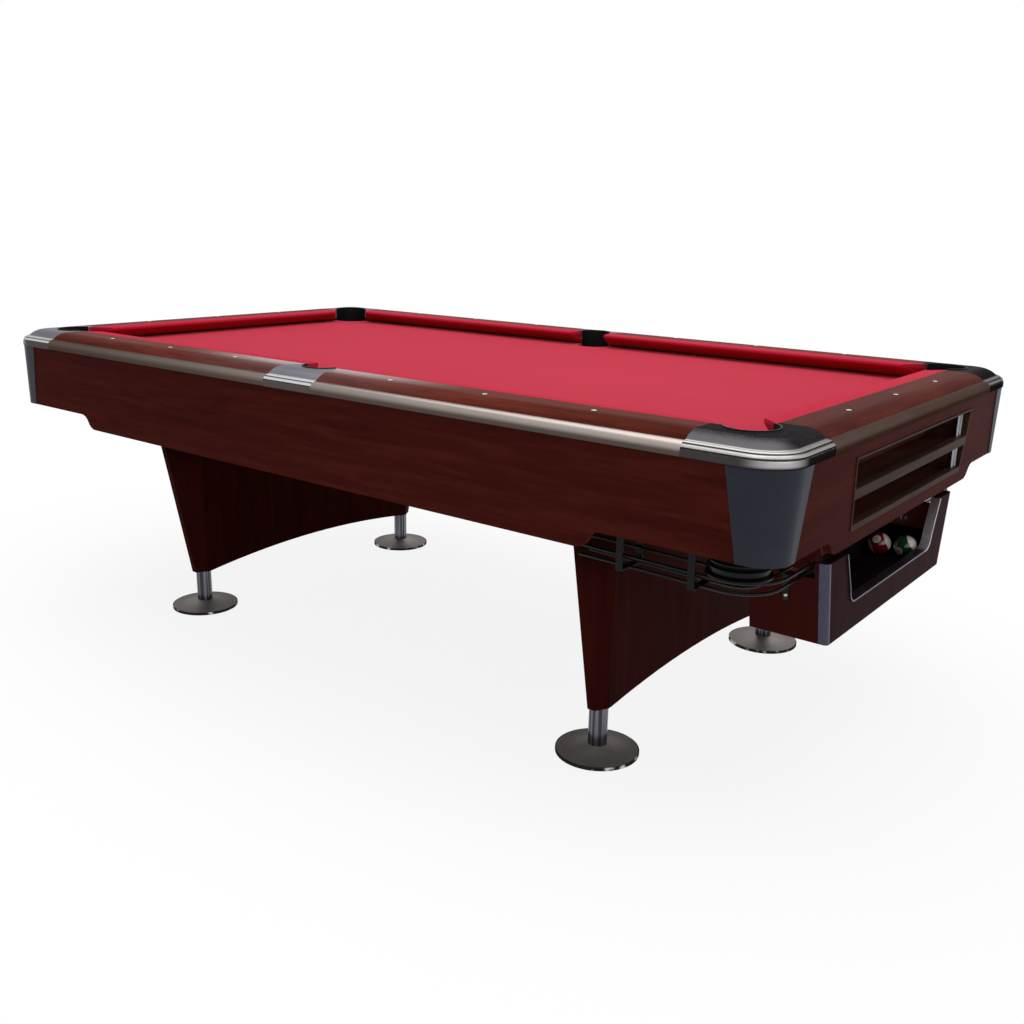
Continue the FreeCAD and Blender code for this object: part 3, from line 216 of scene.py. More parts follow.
def ramp(finish, factor, *stops):
    return finish.node("ShaderNodeValToRGB", {"stops": stops}, {"Fac": factor}, "Color")


def mix(finish, factor, first, second):
    sockets = {"Factor": factor, "A": first, "B": second}
    return finish.node("ShaderNodeMix", {"data_type": "RGBA"}, sockets, "Result")


def rise(finish, value, low, high):
    """0 below low, 1 above high, and a smooth rise between them."""
    sockets = {"Value": value, "From Min": low, "From Max": high}
    return finish.node("ShaderNodeMapRange", {"interpolation_type": "SMOOTHSTEP"}, sockets, "Result")


def bump(finish, height, depth, strength, normal):
    sockets = {"Height": height, "Distance": depth, "Strength": strength, "Normal": normal}
    return finish.node("ShaderNodeBump", {}, sockets)


def broken_edge(finish, radius):
    """A normal that rounds the edges, and a mask that is 1 on them."""
    rounded = finish.node("ShaderNodeBevel", {"samples": EDGE_SAMPLES}, {"Radius": radius})
    flat = finish.node("ShaderNodeNewGeometry", {}, {}, "True Normal")
    return rounded, rise(finish, 1 - vector_math(finish, "DOT_PRODUCT", rounded, flat), *EDGE_BEND)


print("an edge shows where its normal bends by", EDGE_BEND)

# %% [markdown]
# ## Light and floor
# The table stands on a pale floor before a white ground, lit as in a shop's studio: one wide soft light
# overhead, a weaker one at the foot end, and even light from all round. The world is white to the camera
# and in reflections, and dimmer as a lamp, so the ground stays white without more light on the table.

# %% World and lamps
DAYLIGHT = 0.30
WHITE = rgb(255, 255, 255)
OVERHEAD = {"size": (6.0, 4.6), "place": (0.2, 0.3, 4.2), "watts": 165}
FOOT_FILL = {"size": (2.4, 1.8), "place": (4.6, -1.6, 2.0), "watts": 16}
LAMP_AIM = Vector((0, 0, 0.6))


def shown(wiring):
    """1 for a ray that shows what it meets: the camera's own, one off a gloss, or one through glass."""
    by_eye, by_gloss, by_glass = (wiring.node("ShaderNodeLightPath", {}, {}, f"Is {kind} Ray")
                                  for kind in ("Camera", "Glossy", "Transmission"))
    return by_eye.math("MAXIMUM", by_eye.math("MAXIMUM", by_eye, by_gloss), by_glass)


def soft_lamp(name, size, place, watts):
    lamp = bpy.data.objects.new(name, bpy.data.lights.new(name, "AREA"))
    lamp.data.shape = "RECTANGLE"
    lamp.data.size, lamp.data.size_y = size
    lamp.data.energy = watts
    lamp.location = place
    lamp.rotation_euler = (LAMP_AIM - Vector(place)).to_track_quat("-Z", "Y").to_euler()
    bpy.context.scene.collection.objects.link(lamp)


world = bpy.data.worlds.new("studio")
world.use_nodes = True
sky = Wiring(world.node_tree)
ground = sky.tree.nodes["Background"].inputs
sky.join(WHITE, ground["Color"])
sky.join(DAYLIGHT + (1 - DAYLIGHT) * shown(sky), ground["Strength"])
bpy.context.scene.world = world
soft_lamp("overhead", **OVERHEAD)
soft_lamp("foot_fill", **FOOT_FILL)
print("two lamps and a world at", DAYLIGHT)

# %% [markdown]
# The floor keeps the table's shadow close by and fades to white further out, so no horizon shows. A Mix
# Shader does that: painted floor near the table, and more and more plain white towards the distance.

# %% Floor
FLOOR_HALF = 14.0
FLOOR_PAINT = {"Roughness": 0.9, "Specular IOR Level": 0.0, "Base Color": rgb(244, 244, 244)}
WHITE_FROM, WHITE_AT, LENGTHWISE = 0.70, 1.55, 0.62
GLOW = 0.88

sheet_of_floor = bmesh.new()
bmesh.ops.create_grid(sheet_of_floor, x_segments=1, y_segments=1, size=FLOOR_HALF)
floor = bpy.data.objects.new("floor", bpy.data.meshes.new("floor"))
sheet_of_floor.to_mesh(floor.data)
sheet_of_floor.free()
bpy.context.scene.collection.objects.link(floor)

paint = Finish("floor paint", FLOOR_PAINT)
far = vector_math(paint, "LENGTH", place_on(paint, (LENGTHWISE, 1, 1)))
fade = (GLOW + (1 - GLOW) * rise(paint, far, WHITE_FROM, WHITE_AT)) * shown(paint)
glow = paint.node("ShaderNodeEmission", {}, {"Color": WHITE, "Strength": 1.0})
surface = Value(paint, paint.shader.outputs["BSDF"])
blend = paint.node("ShaderNodeMixShader", {}, {0: fade, 1: surface, 2: glow})
paint.join(blend, paint.tree.nodes["Material Output"].inputs["Surface"])
floor.data.materials.append(paint.material)
print("the floor is white from", WHITE_AT, "m beside the table")

# %% [markdown]
# ## Wood
# Rails, aprons, pedestals and the ball box are mahogany under a satin lacquer. A wave texture would band the
# wood too evenly, so its figure is a noise drawn out along the board, and each board has a finish for the way
# it runs. Finer noise gives the pores. The aprons and pedestals are nearly black in the photograph and
# reflect little, so their shader does too.

# %% Mahogany
GRAIN = {"x": (1, 11, 11), "y": (11, 1, 11), "z": (11, 11, 1)}
FIGURE_SCALE, FIBRE_SCALE, PORE_SCALE = 2.2, 9.0, 55.0
FIGURE_SHARE, STAIN_STOPS = 0.6, (0.32, 0.5, 0.72)
WOOD_EDGE, WOOD_EDGE_WEAR_AND_HIGHLIGHT = 0.0012, 0.35
PORE_DEPTH, PORE_STRENGTH = 0.0003, 0.10
FIBRE_DULL, WOOD_EDGE_DULL = 0.10, 0.08


def mahogany(title, run, shades, constants):
    """Lacquered wood with its grain along one axis, in three shades. Gives the finish and its colour."""
    finish = Finish(title, constants)
    board = place_on(finish, GRAIN[run])
    figure = noise(finish, board, FIGURE_SCALE, detail=5.0, distortion=0.9)
    fibre = noise(finish, board, FIBRE_SCALE, detail=4.0, distortion=0.3)
    pores = noise(finish, board, PORE_SCALE, detail=2.0)
    stain = figure * FIGURE_SHARE + fibre * (1 - FIGURE_SHARE)
    rounded, edge = broken_edge(finish, WOOD_EDGE)
    stained = ramp(finish, stain, *zip(STAIN_STOPS, shades))
    # Edges painted paler: partly worn lacquer, partly a painted highlight.
    colour = mix(finish, edge * WOOD_EDGE_WEAR_AND_HIGHLIGHT, stained, shades[-1])
    gloss = constants["Roughness"] - FIBRE_DULL / 2
    finish.feed({"Base Color": colour,
                 "Roughness": fibre * FIBRE_DULL + edge * WOOD_EDGE_DULL + gloss,
                 "Normal": bump(finish, pores, PORE_DEPTH, PORE_STRENGTH, rounded)})
    return finish, colour


APRON_SHADES = rgb(64, 22, 18), rgb(76, 28, 23), rgb(90, 37, 30)
# The end aprons are a darker copy of the same mahogany, painted shade against the light on the ends.
APRON_END_SHADED = rgb(56, 18, 14), rgb(67, 23, 18), rgb(80, 31, 24)
DULL = {"Roughness": 0.42, "Specular IOR Level": 0.005}
apron_long, _ = mahogany("apron mahogany, long", "x", APRON_SHADES, DULL)
apron_short, _ = mahogany("apron mahogany, short", "y", APRON_END_SHADED, DULL)
print("the aprons have their mahogany")

# %% [markdown]
# The ball box is stained nearly black in front and a little redder on its walls. Inside it the boards are
# painted a lighter red-brown, a painted light that lifts the shade in the box. A board is inside where it lies
# nearer the middle than a line that leans with the box's flared walls, and where it is behind the front.

# %% Ball box boards
BOX_SHADES = rgb(36, 16, 18), rgb(45, 21, 24), rgb(56, 28, 30)
WALL_STAIN, WALL_SHARE = rgb(74, 27, 19), 0.7
BOX_INSIDE_LIT = rgb(134, 70, 54)
BOX_FLARE = 0.2018
INTO_WALL, OFF_FRONT = 0.01, 0.0005

box_boards, box_stain = mahogany("ball box mahogany", "z", BOX_SHADES, DULL)
box_x, box_y, box_z = axes(box_boards, place_on(box_boards))
front_inner, box_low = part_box("ball_box_front")[0].x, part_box("ball_box_carcass")[0].z
tray_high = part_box("ball_tray")[1]
floor_half = tray_high.y - BOX_FLARE * (tray_high.z - box_low) + INTO_WALL
behind_front = box_x < front_inner - OFF_FRONT
inside_lit = (abs(box_y) - BOX_FLARE * (box_z - box_low) < floor_half) * behind_front
outside = mix(box_boards, behind_front * WALL_SHARE, box_stain, WALL_STAIN)
# Painted light: the boards inside the box are painted lighter against its shade.
box_boards.feed({"Base Color": mix(box_boards, inside_lit, outside, BOX_INSIDE_LIT)})
print("the box is", round(2 * floor_half, 3), "m wide inside, at its bottom")

# %% [markdown]
# The top rails carry a thicker lacquer. Beside the side pockets, where players lean, it is worn to a
# higher polish, and there the photograph shows a pale sheen on the flat of the rail. The coat's weight
# follows that: full at mid-length on the near side, weaker towards the corners and the outer edge.

# %% Rail lacquer
RAIL_SHADES = rgb(74, 28, 22), rgb(94, 39, 30), rgb(116, 54, 42)
END_SHADES = rgb(62, 22, 16), rgb(80, 31, 23), rgb(100, 43, 33)
LACQUER = {"Roughness": 0.36, "Specular IOR Level": 0.003, "Coat Roughness": 0.20, "Coat IOR": 1.5}
UNPOLISHED, FAR_SIDE, OUTER_EDGE = (0.12, 0.52), (-0.3, 0.3), (0.622, 0.675)
COAT_LEAST, COAT_POLISHED, COAT_INNER = 0.005, 0.22, 0.60
END_COAT, END_COAT_LOSS, END_COAT_FADE = 0.012, 0.01, (-0.45, 0.0)

rail_long, _ = mahogany("rail mahogany, long", "x", RAIL_SHADES, LACQUER)
rail_x, rail_y, _ = axes(rail_long, place_on(rail_long))
leaned_on = 1 - rise(rail_long, abs(rail_x), *UNPOLISHED)
polish = leaned_on * (1 - rise(rail_long, rail_y, *FAR_SIDE))
inner = 1 - rise(rail_long, abs(rail_y), *OUTER_EDGE)
rail_long.feed({"Coat Weight": COAT_LEAST + polish * (COAT_POLISHED + COAT_INNER * inner)})
rail_short, _ = mahogany("rail mahogany, short", "y", END_SHADES, LACQUER)
across = axes(rail_short, place_on(rail_short))[1]
rail_short.feed({"Coat Weight": END_COAT - END_COAT_LOSS * rise(rail_short, across, *END_COAT_FADE)})
print("the rails have lacquer on their mahogany")

# %% [markdown]
# A pedestal is a wide board, bevelled towards its ends, and its grain stands upright. The bevels begin at a
# fine dark line, a joint, and beyond it the bevel is painted slightly redder, a painted light for the light it
# catches. The board's upper part under the aprons is painted nearly black, a painted shade where the aprons
# keep the light off.

# %% Pedestal boards
PEDESTAL_SHADES = rgb(48, 14, 12), rgb(58, 18, 15), rgb(70, 24, 19)
STRIP_JOINT, JOINT_HALF = 0.452, 0.0009
BEVEL_LIGHT_RED, BEVEL_LIGHT_SHARE = rgb(70, 20, 15), 0.3
PEDESTAL_TOP_SHADE, PEDESTAL_TOP_SHADE_TONE, PEDESTAL_TOP_SHADE_SHARE = (0.43, 0.56), rgb(20, 9, 10), 0.8
JOINT_TONE, JOINT_SHARE = rgb(18, 6, 6), 0.8

pedestal_wood, board_colour = mahogany("pedestal mahogany", "z", PEDESTAL_SHADES, DULL)
_, board_y, board_z = axes(pedestal_wood, place_on(pedestal_wood))
from_middle = abs(board_y)
joint = abs(from_middle - STRIP_JOINT) < JOINT_HALF
bevel_lit = rise(pedestal_wood, from_middle, STRIP_JOINT, STRIP_JOINT + JOINT_HALF)
painted_top_shade = rise(pedestal_wood, board_z, *PEDESTAL_TOP_SHADE)
# Painted light: the bevel beyond the joint is painted redder.
board_colour = mix(pedestal_wood, bevel_lit * BEVEL_LIGHT_SHARE, board_colour, BEVEL_LIGHT_RED)
# Painted shade: the upper part under the aprons is painted nearly black.
board_colour = mix(pedestal_wood, painted_top_shade * PEDESTAL_TOP_SHADE_SHARE, board_colour, PEDESTAL_TOP_SHADE_TONE)
pedestal_wood.feed({"Base Color": mix(pedestal_wood, joint * JOINT_SHARE, board_colour, JOINT_TONE)})
print("the pedestals have a joint", STRIP_JOINT, "m from the middle")

# %% [markdown]
# The rack in the foot apron is of browner, duller boards with a greyer, waxed frame. The boards are painted
# lighter than their wood, a painted light in the rack's shade. The frame under the slates is plain sawn
# softwood, which hardly shows.

# %% Rack and frame timber
RACK_LIT_SHADES = rgb(70, 38, 32), rgb(92, 54, 46), rgb(116, 72, 60)
EDGING_SHADES = rgb(44, 28, 24), rgb(58, 40, 34), rgb(80, 58, 50)
SOFTWOOD_SHADES = rgb(120, 88, 56), rgb(150, 114, 76), rgb(176, 140, 98)
WAXED = {"Roughness": 0.33, "Specular IOR Level": 0.01}
SAWN = {"Roughness": 0.75, "Specular IOR Level": 0.2}

# Painted light: the rack boards are painted lighter against the rack's shade.
rack_boards, _ = mahogany("rack boards", "y", RACK_LIT_SHADES, DULL)
rack_edging, _ = mahogany("rack frame", "y", EDGING_SHADES, WAXED)
softwood, _ = mahogany("sawn softwood", "x", SOFTWOOD_SHADES, SAWN)
print("the rack and the frame have their boards")

# %% [markdown]
# ## Metal
# The trim round the table is a half-round bar of satin pewter. Its upper part carries a painted highlight and
# its lower part painted shade; the highlight is painted brighter and taller towards the foot end, and the trim
# at the ends is a darker copy, all painted light and shade. Castings close the corners and the side pockets,
# ribbed on their outer edge. An anisotropic shader would need a direction on every face, so brushed metal is a
# noise drawn out along the bar, which varies the roughness and a little of the colour.

# %% Brushed metal
STREAK_SCALE, BLOTCH_SCALE, STREAK_SHARE = 60.0, 14.0, 0.6
METAL_EDGE, METAL_EDGE_WEAR_AND_HIGHLIGHT = 0.0008, 0.5
STREAK_DULL, BLOTCH_DULL = 0.16, 0.08
STREAK_DEPTH, STREAK_STRENGTH = 0.0002, 0.06


def metal(title, colour, dark, roughness, stretch, tint=WHITE):
    """Brushed metal with darker streaks and edges painted bright, partly wear and partly a painted highlight.
    Gives the finish and its colour between edges.
    """
    finish = Finish(title, {"Metallic": 1.0, "Specular Tint": tint})
    streaks = noise(finish, place_on(finish, stretch), STREAK_SCALE)
    blotches = noise(finish, place_on(finish), BLOTCH_SCALE)
    rounded, edge = broken_edge(finish, METAL_EDGE)
    body = mix(finish, streaks * STREAK_SHARE + blotches * (1 - STREAK_SHARE), dark, colour)
    gloss = roughness - (STREAK_DULL + BLOTCH_DULL) / 2
    # Edges painted bright: partly wear, partly a painted highlight.
    finish.feed({"Base Color": mix(finish, edge * METAL_EDGE_WEAR_AND_HIGHLIGHT, body, colour),
                 "Roughness": streaks * STREAK_DULL + blotches * BLOTCH_DULL + gloss,
                 "Normal": bump(finish, streaks, STREAK_DEPTH, STREAK_STRENGTH, rounded)})
    return finish, body


print("brushed metal has streaks, blotches and bright edges")

# %% Pewter trim
TRIM_LOW, TRIM_HIGH = (corner.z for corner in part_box("rail_trims_long"))
TRIM_TALL = TRIM_HIGH - TRIM_LOW
# Painted light and shade: the bar's upper part is painted bright as a highlight, its lower part dark as shade.
PEWTER, PEWTER_SHADE, PEWTER_LOWER_SHADE = rgb(172, 162, 156), rgb(148, 139, 134), rgb(80, 70, 66)
END_PEWTER, END_PEWTER_SHADE, TRIM_SHADE_TONE = rgb(116, 105, 101), rgb(92, 82, 78), rgb(84, 72, 67)
PEWTER_TINT, PEWTER_DULL = rgb(150, 144, 140), 0.34
LIT_ALONG, TRIM_SHADE_SHARE = (-1.0, 1.0), 0.72
BAND_FROM, BAND_WIDENS = 0.28, 0.36


def half_round(title, stretch, upper, shade, lower):
    """A bar with painted shade below and a painted highlight above. Gives the finish, its colour and how far
    along it the painted light grows.
    """
    finish, body = metal(title, upper, shade, PEWTER_DULL, stretch, PEWTER_TINT)
    along, _, height = axes(finish, place_on(finish))
    lit_along = rise(finish, along, *LIT_ALONG)
    full_at = TRIM_HIGH - BAND_WIDENS * TRIM_TALL * lit_along
    colour = mix(finish, rise(finish, height, TRIM_LOW + BAND_FROM * TRIM_TALL, full_at), lower, body)
    finish.feed({"Base Color": colour})
    return finish, colour, lit_along


trim_long, long_colour, lit_along = half_round("satin pewter, long", (1, 30, 30), PEWTER, PEWTER_SHADE,
                                            PEWTER_LOWER_SHADE)
# Painted shade: the long trim is darkened towards the head end, where the painted highlight fades.
trim_long.feed({"Base Color": mix(trim_long, (1 - lit_along) * TRIM_SHADE_SHARE, long_colour, TRIM_SHADE_TONE)})
# The end trims are a darker copy, painted shade.
trim_short_shaded, _, _ = half_round("satin pewter, short", (30, 1, 30), END_PEWTER, END_PEWTER_SHADE, TRIM_SHADE_TONE)
print("the trim is", round(TRIM_TALL, 4), "m tall")

# %% [markdown]
# A casting has three regions by height: its top, the round edge with two grooves between three ribs, and a
# face under them. The ribs carry painted highlights, the lowest one only round a corner, and the grooves and
# the face under them are painted dark, as shade.
# The corner castings at the foot end are a darker copy, painted shade on their tops and ribs.

# %% Castings
GROOVE_DROPS, GROOVE_CORE, GROOVE_HALF = (0.0037, 0.0119), 0.0008, 0.0018
GROOVE_SHADE, GROOVE_SHADE_SHARE = rgb(38, 36, 36), 0.85
RIBS_LOW, RIB_BLEND = TRIM_HIGH - 0.0125, 0.002
LOWEST_RIB, LOWEST_FULL = 0.0165, 0.6
TOP_FROM = TRIM_HIGH - 0.0005, TRIM_HIGH + 0.0025
CORNER_ROUND, CORNER_FADE = 0.09, (-0.005, 0.055)
ROUND_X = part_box("rail_trims_end")[1].x - CORNER_ROUND
ROUND_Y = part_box("rail_trims_long")[1].y - CORNER_ROUND
CASTING_DULL = 0.36


def ribbed(title, top, top_shade, rib, lower, tint):
    finish, body = metal(title, top, top_shade, CASTING_DULL, (3, 3, 3), tint)
    along, across, height = axes(finish, place_on(finish))
    on_corner = (rise(finish, abs(along) - ROUND_X, *CORNER_FADE)
                 * rise(finish, abs(across) - ROUND_Y, *CORNER_FADE))
    # Painted highlights on the ribs; painted shade in the grooves and on the face under them.
    bright = rise(finish, height, RIBS_LOW - RIB_BLEND, RIBS_LOW)
    lowest = rise(finish, height, RIBS_LOW - LOWEST_RIB, RIBS_LOW - LOWEST_FULL * LOWEST_RIB) * on_corner
    edge_colour = mix(finish, bright, mix(finish, lowest, lower, rib), rib)
    for drop in GROOVE_DROPS:
        groove = 1 - rise(finish, abs(height - (TRIM_HIGH - drop)), GROOVE_CORE, GROOVE_HALF)
        edge_colour = mix(finish, groove * GROOVE_SHADE_SHARE, edge_colour, GROOVE_SHADE)
    finish.feed({"Base Color": mix(finish, rise(finish, height, *TOP_FROM), edge_colour, body)})
    return finish


# Lit and shaded copies of one casting: the foot corners' copy is darker, painted shade.
lit_casting = ribbed("satin casting", rgb(130, 129, 136), rgb(98, 98, 106), rgb(208, 206, 206),
                        rgb(80, 74, 71), rgb(200, 200, 204))
shaded_casting = ribbed("grey casting", rgb(84, 82, 84), rgb(60, 58, 60), rgb(172, 169, 168),
                      rgb(62, 58, 57), rgb(112, 110, 112))
print("the castings have ribs from", round(RIBS_LOW, 4), "to", round(TRIM_HIGH, 4))

# %% [markdown]
# The posts of the levellers, the lock and the posts in the rack are chromed. Chrome shows the room round it,
# and this scene has none, so the chrome's light and dark streaks are painted reflections, and the leveller
# posts get bolder painted stripes from a noise drawn out along them. The strips on the ball box are a greyish
# silver, and the mouth's lining is painted pale on its far side, a painted reflection of the light.

# %% Chrome, silver and steel
STRIPE_SCALE, STRIPE_RANGE, REFLECTION_DARK = 120.0, (0.42, 0.62), rgb(58, 58, 66)
LINING_FROM, LINING_TO, LINING_REFLECTION = (0.22, 0.25), (0.325, 0.345), rgb(206, 206, 214)

# Painted reflections: the chrome's light and dark streaks.
chrome, _ = metal("chrome", rgb(176, 176, 184), rgb(44, 44, 50), 0.20, (3, 3, 0.05))
post_chrome, post_body = metal("post chrome", rgb(150, 150, 158), rgb(20, 20, 24), 0.22, (3, 3, 0.02))
# Painted reflections: light and dark stripes on the leveller posts.
drawn_out = noise(post_chrome, place_on(post_chrome, (1, 1, 0.01)), STRIPE_SCALE, detail=1.0)
stripes = rise(post_chrome, drawn_out, *STRIPE_RANGE)
post_chrome.feed({"Base Color": mix(post_chrome, stripes, REFLECTION_DARK, post_body)})
silver_strip, silver = metal("lavender silver", rgb(84, 84, 100), rgb(50, 50, 62), 0.36, (6, 6, 1))
strip_y = axes(silver_strip, place_on(silver_strip))[1]
# Painted reflection: the far side of the mouth's lining is painted pale.
far_lining_lit = rise(silver_strip, strip_y, *LINING_FROM) * (1 - rise(silver_strip, strip_y, *LINING_TO))
silver_strip.feed({"Base Color": mix(silver_strip, far_lining_lit, silver, LINING_REFLECTION)})
steel, _ = metal("zinc-plated steel", rgb(200, 198, 190), rgb(150, 148, 142), 0.3, (1, 1, 1))
print("chrome, silver and steel")

# %% [markdown]
# A leveller stands on a dished disc of dark nickel. It is turned on a lathe, so its marks run in rings round
# its own middle, and it is brightest near the post. Its rim is painted nearly black with bright specks,
# painted glints, and its edges are painted paler, partly wear and partly a painted highlight.
# The four discs stand at mirrored places: taking the absolute value of x and y folds them onto one, and one
# finish serves all.

# %% Turned nickel
RING_SCALE, DUST_SCALE, GLINT_SCALE = 900.0, 90.0, 34.0
RING_SHARE, GLINT_RANGE = 0.35, (0.55, 0.68)
OFF_POST, RIM = (0.030, 0.090), (0.0965, 0.0985)
WORN, TARNISHED = (rgb(140, 135, 132), rgb(190, 185, 182)), (rgb(122, 116, 114), rgb(168, 161, 158))
RIM_DARK_AND_GLINTS = rgb(34, 32, 32), rgb(214, 212, 210)
DISC_EDGE, DISC_EDGE_HIGHLIGHT, DISC_EDGE_HIGHLIGHT_SHARE = 0.0015, rgb(150, 146, 142), 0.2
RING_DULL, DUST_DULL, NICKEL_DULL = 0.12, 0.14, 0.36
RING_DEPTH, RING_STRENGTH = 0.0002, 0.12


def middle_of(name):
    low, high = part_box(name)
    return (low + high) / 2


disc_middle = middle_of("leveller_disc_far_foot")
to_middle = (-disc_middle.x, -disc_middle.y, 0)
nickel = Finish("turned nickel", {"Metallic": 0.7, "Specular Tint": rgb(120, 116, 114)})
folded = vector_math(nickel, "ABSOLUTE", place_on(nickel))
centred = nickel.node("ShaderNodeMapping", {}, {"Vector": folded, "Location": to_middle})
from_post = vector_math(nickel, "LENGTH", vector_math(nickel, "MULTIPLY", centred, (1, 1, 0)))
ring_sockets = {"W": from_post, "Scale": RING_SCALE}
rings = nickel.node("ShaderNodeTexNoise", {"noise_dimensions": "1D"}, ring_sockets, 0)
dust = noise(nickel, place_on(nickel), DUST_SCALE, detail=4.0)
glints = rise(nickel, noise(nickel, place_on(nickel), GLINT_SCALE, detail=1.0), *GLINT_RANGE)
rounded, edge = broken_edge(nickel, DISC_EDGE)
marks = rings * RING_SHARE + dust * (1 - RING_SHARE)
worn, tarnished = (mix(nickel, marks, *shades) for shades in (WORN, TARNISHED))
disc_colour = mix(nickel, rise(nickel, from_post, *OFF_POST), worn, tarnished)
# Painted glints: bright specks on a nearly black rim.
disc_colour = mix(nickel, rise(nickel, from_post, *RIM), disc_colour, mix(nickel, glints, *RIM_DARK_AND_GLINTS))
# Edges painted paler: partly wear, partly a painted highlight.
nickel.feed({"Base Color": mix(nickel, edge * DISC_EDGE_HIGHLIGHT_SHARE, disc_colour, DISC_EDGE_HIGHLIGHT),
             "Roughness": rings * RING_DULL + dust * DUST_DULL + NICKEL_DULL,
             "Normal": bump(nickel, rings, RING_DEPTH, RING_STRENGTH, rounded)})
print("rings run round", [round(value, 3) for value in disc_middle])

# %% [markdown]
# ## Plastic
# The pocket liners are black rubber-like plastic, the corner covers are moulded in a charcoal with a fine
# grain, the gully wires are coated in black, and a dark tray holds the balls. One recipe serves them, with
# its own colours, gloss and size of grain.

# %% Moulded plastic
SCUFF_SCALE, SCUFF_RANGE = 9.0, (0.45, 0.75)
SCUFF_PALE, SKIN_PALE = 0.5, 0.2
SKIN_DULL, SCUFF_DULL = 0.10, 0.12
PLASTIC_EDGE, PLASTIC_EDGE_WEAR_AND_HIGHLIGHT = 0.001, 0.4
SKIN_DEPTH, SKIN_STRENGTH = 0.0004, 0.12


def moulded(title, colour, pale, grain, roughness, shine):
    finish = Finish(title, {"Specular IOR Level": shine})
    skin = noise(finish, place_on(finish), grain, detail=2.0)
    scuffs = noise(finish, place_on(finish), SCUFF_SCALE, detail=6.0, distortion=0.4)
    rounded, edge = broken_edge(finish, PLASTIC_EDGE)
    body = mix(finish, rise(finish, scuffs, *SCUFF_RANGE) * SCUFF_PALE + skin * SKIN_PALE, colour, pale)
    gloss = roughness - (SKIN_DULL + SCUFF_DULL) / 2
    # Edges painted paler: partly scuffs, partly a painted highlight.
    finish.feed({"Base Color": mix(finish, edge * PLASTIC_EDGE_WEAR_AND_HIGHLIGHT, body, pale),
                 "Roughness": skin * SKIN_DULL + scuffs * SCUFF_DULL + gloss,
                 "Normal": bump(finish, skin, SKIN_DEPTH, SKIN_STRENGTH, rounded)})
    return finish


liner_black = moulded("liner black", rgb(8, 8, 8), rgb(18, 18, 18), 700.0, 0.55, 0.12)
cover_charcoal = moulded("charcoal cover", rgb(46, 48, 58), rgb(60, 62, 74), 850.0, 0.42, 0.10)
gully_black = moulded("gully black", rgb(9, 10, 11), rgb(24, 25, 29), 500.0, 0.30, 0.14)
tray_black = moulded("tray black", rgb(22, 15, 18), rgb(36, 25, 29), 600.0, 0.5, 0.03)
print("four plastics")

# %% [markdown]
# Sights are discs of pearl, cloudy and pale. The slates, under the cloth, are grey stone in fine layers.

# %% Pearl and slate
LUSTRE_SCALE, LAYER_SCALE = 260.0, 24.0
PEARL_STOPS = (0.3, rgb(205, 200, 190)), (0.7, rgb(244, 242, 236))
SLATE_STOPS = (0.3, rgb(62, 66, 72)), (0.7, rgb(96, 100, 106))
LAYER_DULL, SLATE_DULL = 0.2, 0.65

pearl = Finish("pearl", {"Roughness": 0.25, "Coat Weight": 0.5})
lustre = noise(pearl, place_on(pearl), LUSTRE_SCALE, distortion=1.2)
pearl.feed({"Base Color": ramp(pearl, lustre, *PEARL_STOPS)})

slate_grey = Finish("slate", {})
layers = noise(slate_grey, place_on(slate_grey, (1, 1, 6)), LAYER_SCALE, detail=6.0)
slate_grey.feed({"Base Color": ramp(slate_grey, layers, *SLATE_STOPS),
                 "Roughness": layers * LAYER_DULL + SLATE_DULL})
print("pearl and slate")

# %% [markdown]
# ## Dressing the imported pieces
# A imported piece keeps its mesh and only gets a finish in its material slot. Like pieces share one.

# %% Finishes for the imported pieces
CLOTHING = {
    "rail_far_foot rail_far_head rail_near_foot rail_near_head": rail_long,
    "rail_foot rail_head": rail_short,
    "rail_trims_long": trim_long,
    "rail_trims_end": trim_short_shaded,
    "side_casting_far side_casting_near corner_casting_far_head corner_casting_near_head": lit_casting,
    "corner_casting_far_foot corner_casting_near_foot": shaded_casting,
    "pocket_liners": liner_black,
    "sights": pearl,
    "rail_bolts": steel,
    "slate_foot slate_centre slate_head": slate_grey,
    "apron_far apron_near": apron_long,
    "apron_foot apron_head": apron_short,
    "rack_tray": rack_boards,
    "rack_frame": rack_edging,
    "rack_posts lock_ring lock_plug": chrome,
    "frame_beams": softwood,
    "pedestal_foot pedestal_head": pedestal_wood,
    "gully_far gully_near": gully_black,
    "ball_box_carcass ball_box_front": box_boards,
    "ball_box_trim": silver_strip,
    "ball_tray": tray_black,
}
for side in ("far", "near"):
    for end in ("foot", "head"):
        CLOTHING[f"corner_cover_{side}_{end}"] = cover_charcoal
        CLOTHING[f"leveller_post_{side}_{end}"] = post_chrome
        CLOTHING[f"leveller_disc_{side}_{end}"] = nickel


def dress(names, finish):
    for name in names.split():
        nodes[name].data.materials.clear()
        nodes[name].data.materials.append(finish.material)


for names, finish in CLOTHING.items():
    dress(names, finish)
print(sum(len(names.split()) for names in CLOTHING), "packed pieces dressed")

# %% [markdown]
# ## Cloth
# The cloth is a fine worsted, stretched and glued, so it lies flat and its threads hardly show: a nap that
# was brushed along the table, and faint cloudy patches. A little sheen stands for the fibres that stand up.
# The cushions wear the same cloth in a deeper red; the bed's copy is painted paler, a painted sheen of the
# light that grazes it.

# %% Worsted cloth
NAP_SCALE, THREAD_SCALE, CLOUD_SCALE = 230.0, 1100.0, 1.6
NAP_SHARE, THREAD_SHARE, CLOUD_SHARE = 0.35, 0.25, 0.4
BRUSHED_ALONG = (0.35, 1, 1)
NAP_DULL, CLOTH_DULL = 0.1, 0.83
CLOTH_EDGE, WEAVE_DEPTH, WEAVE_STRENGTH = 0.001, 0.0004, 0.12
WOOL = {"Specular IOR Level": 0.08, "Sheen Roughness": 0.5, "Sheen Tint": rgb(255, 190, 200)}


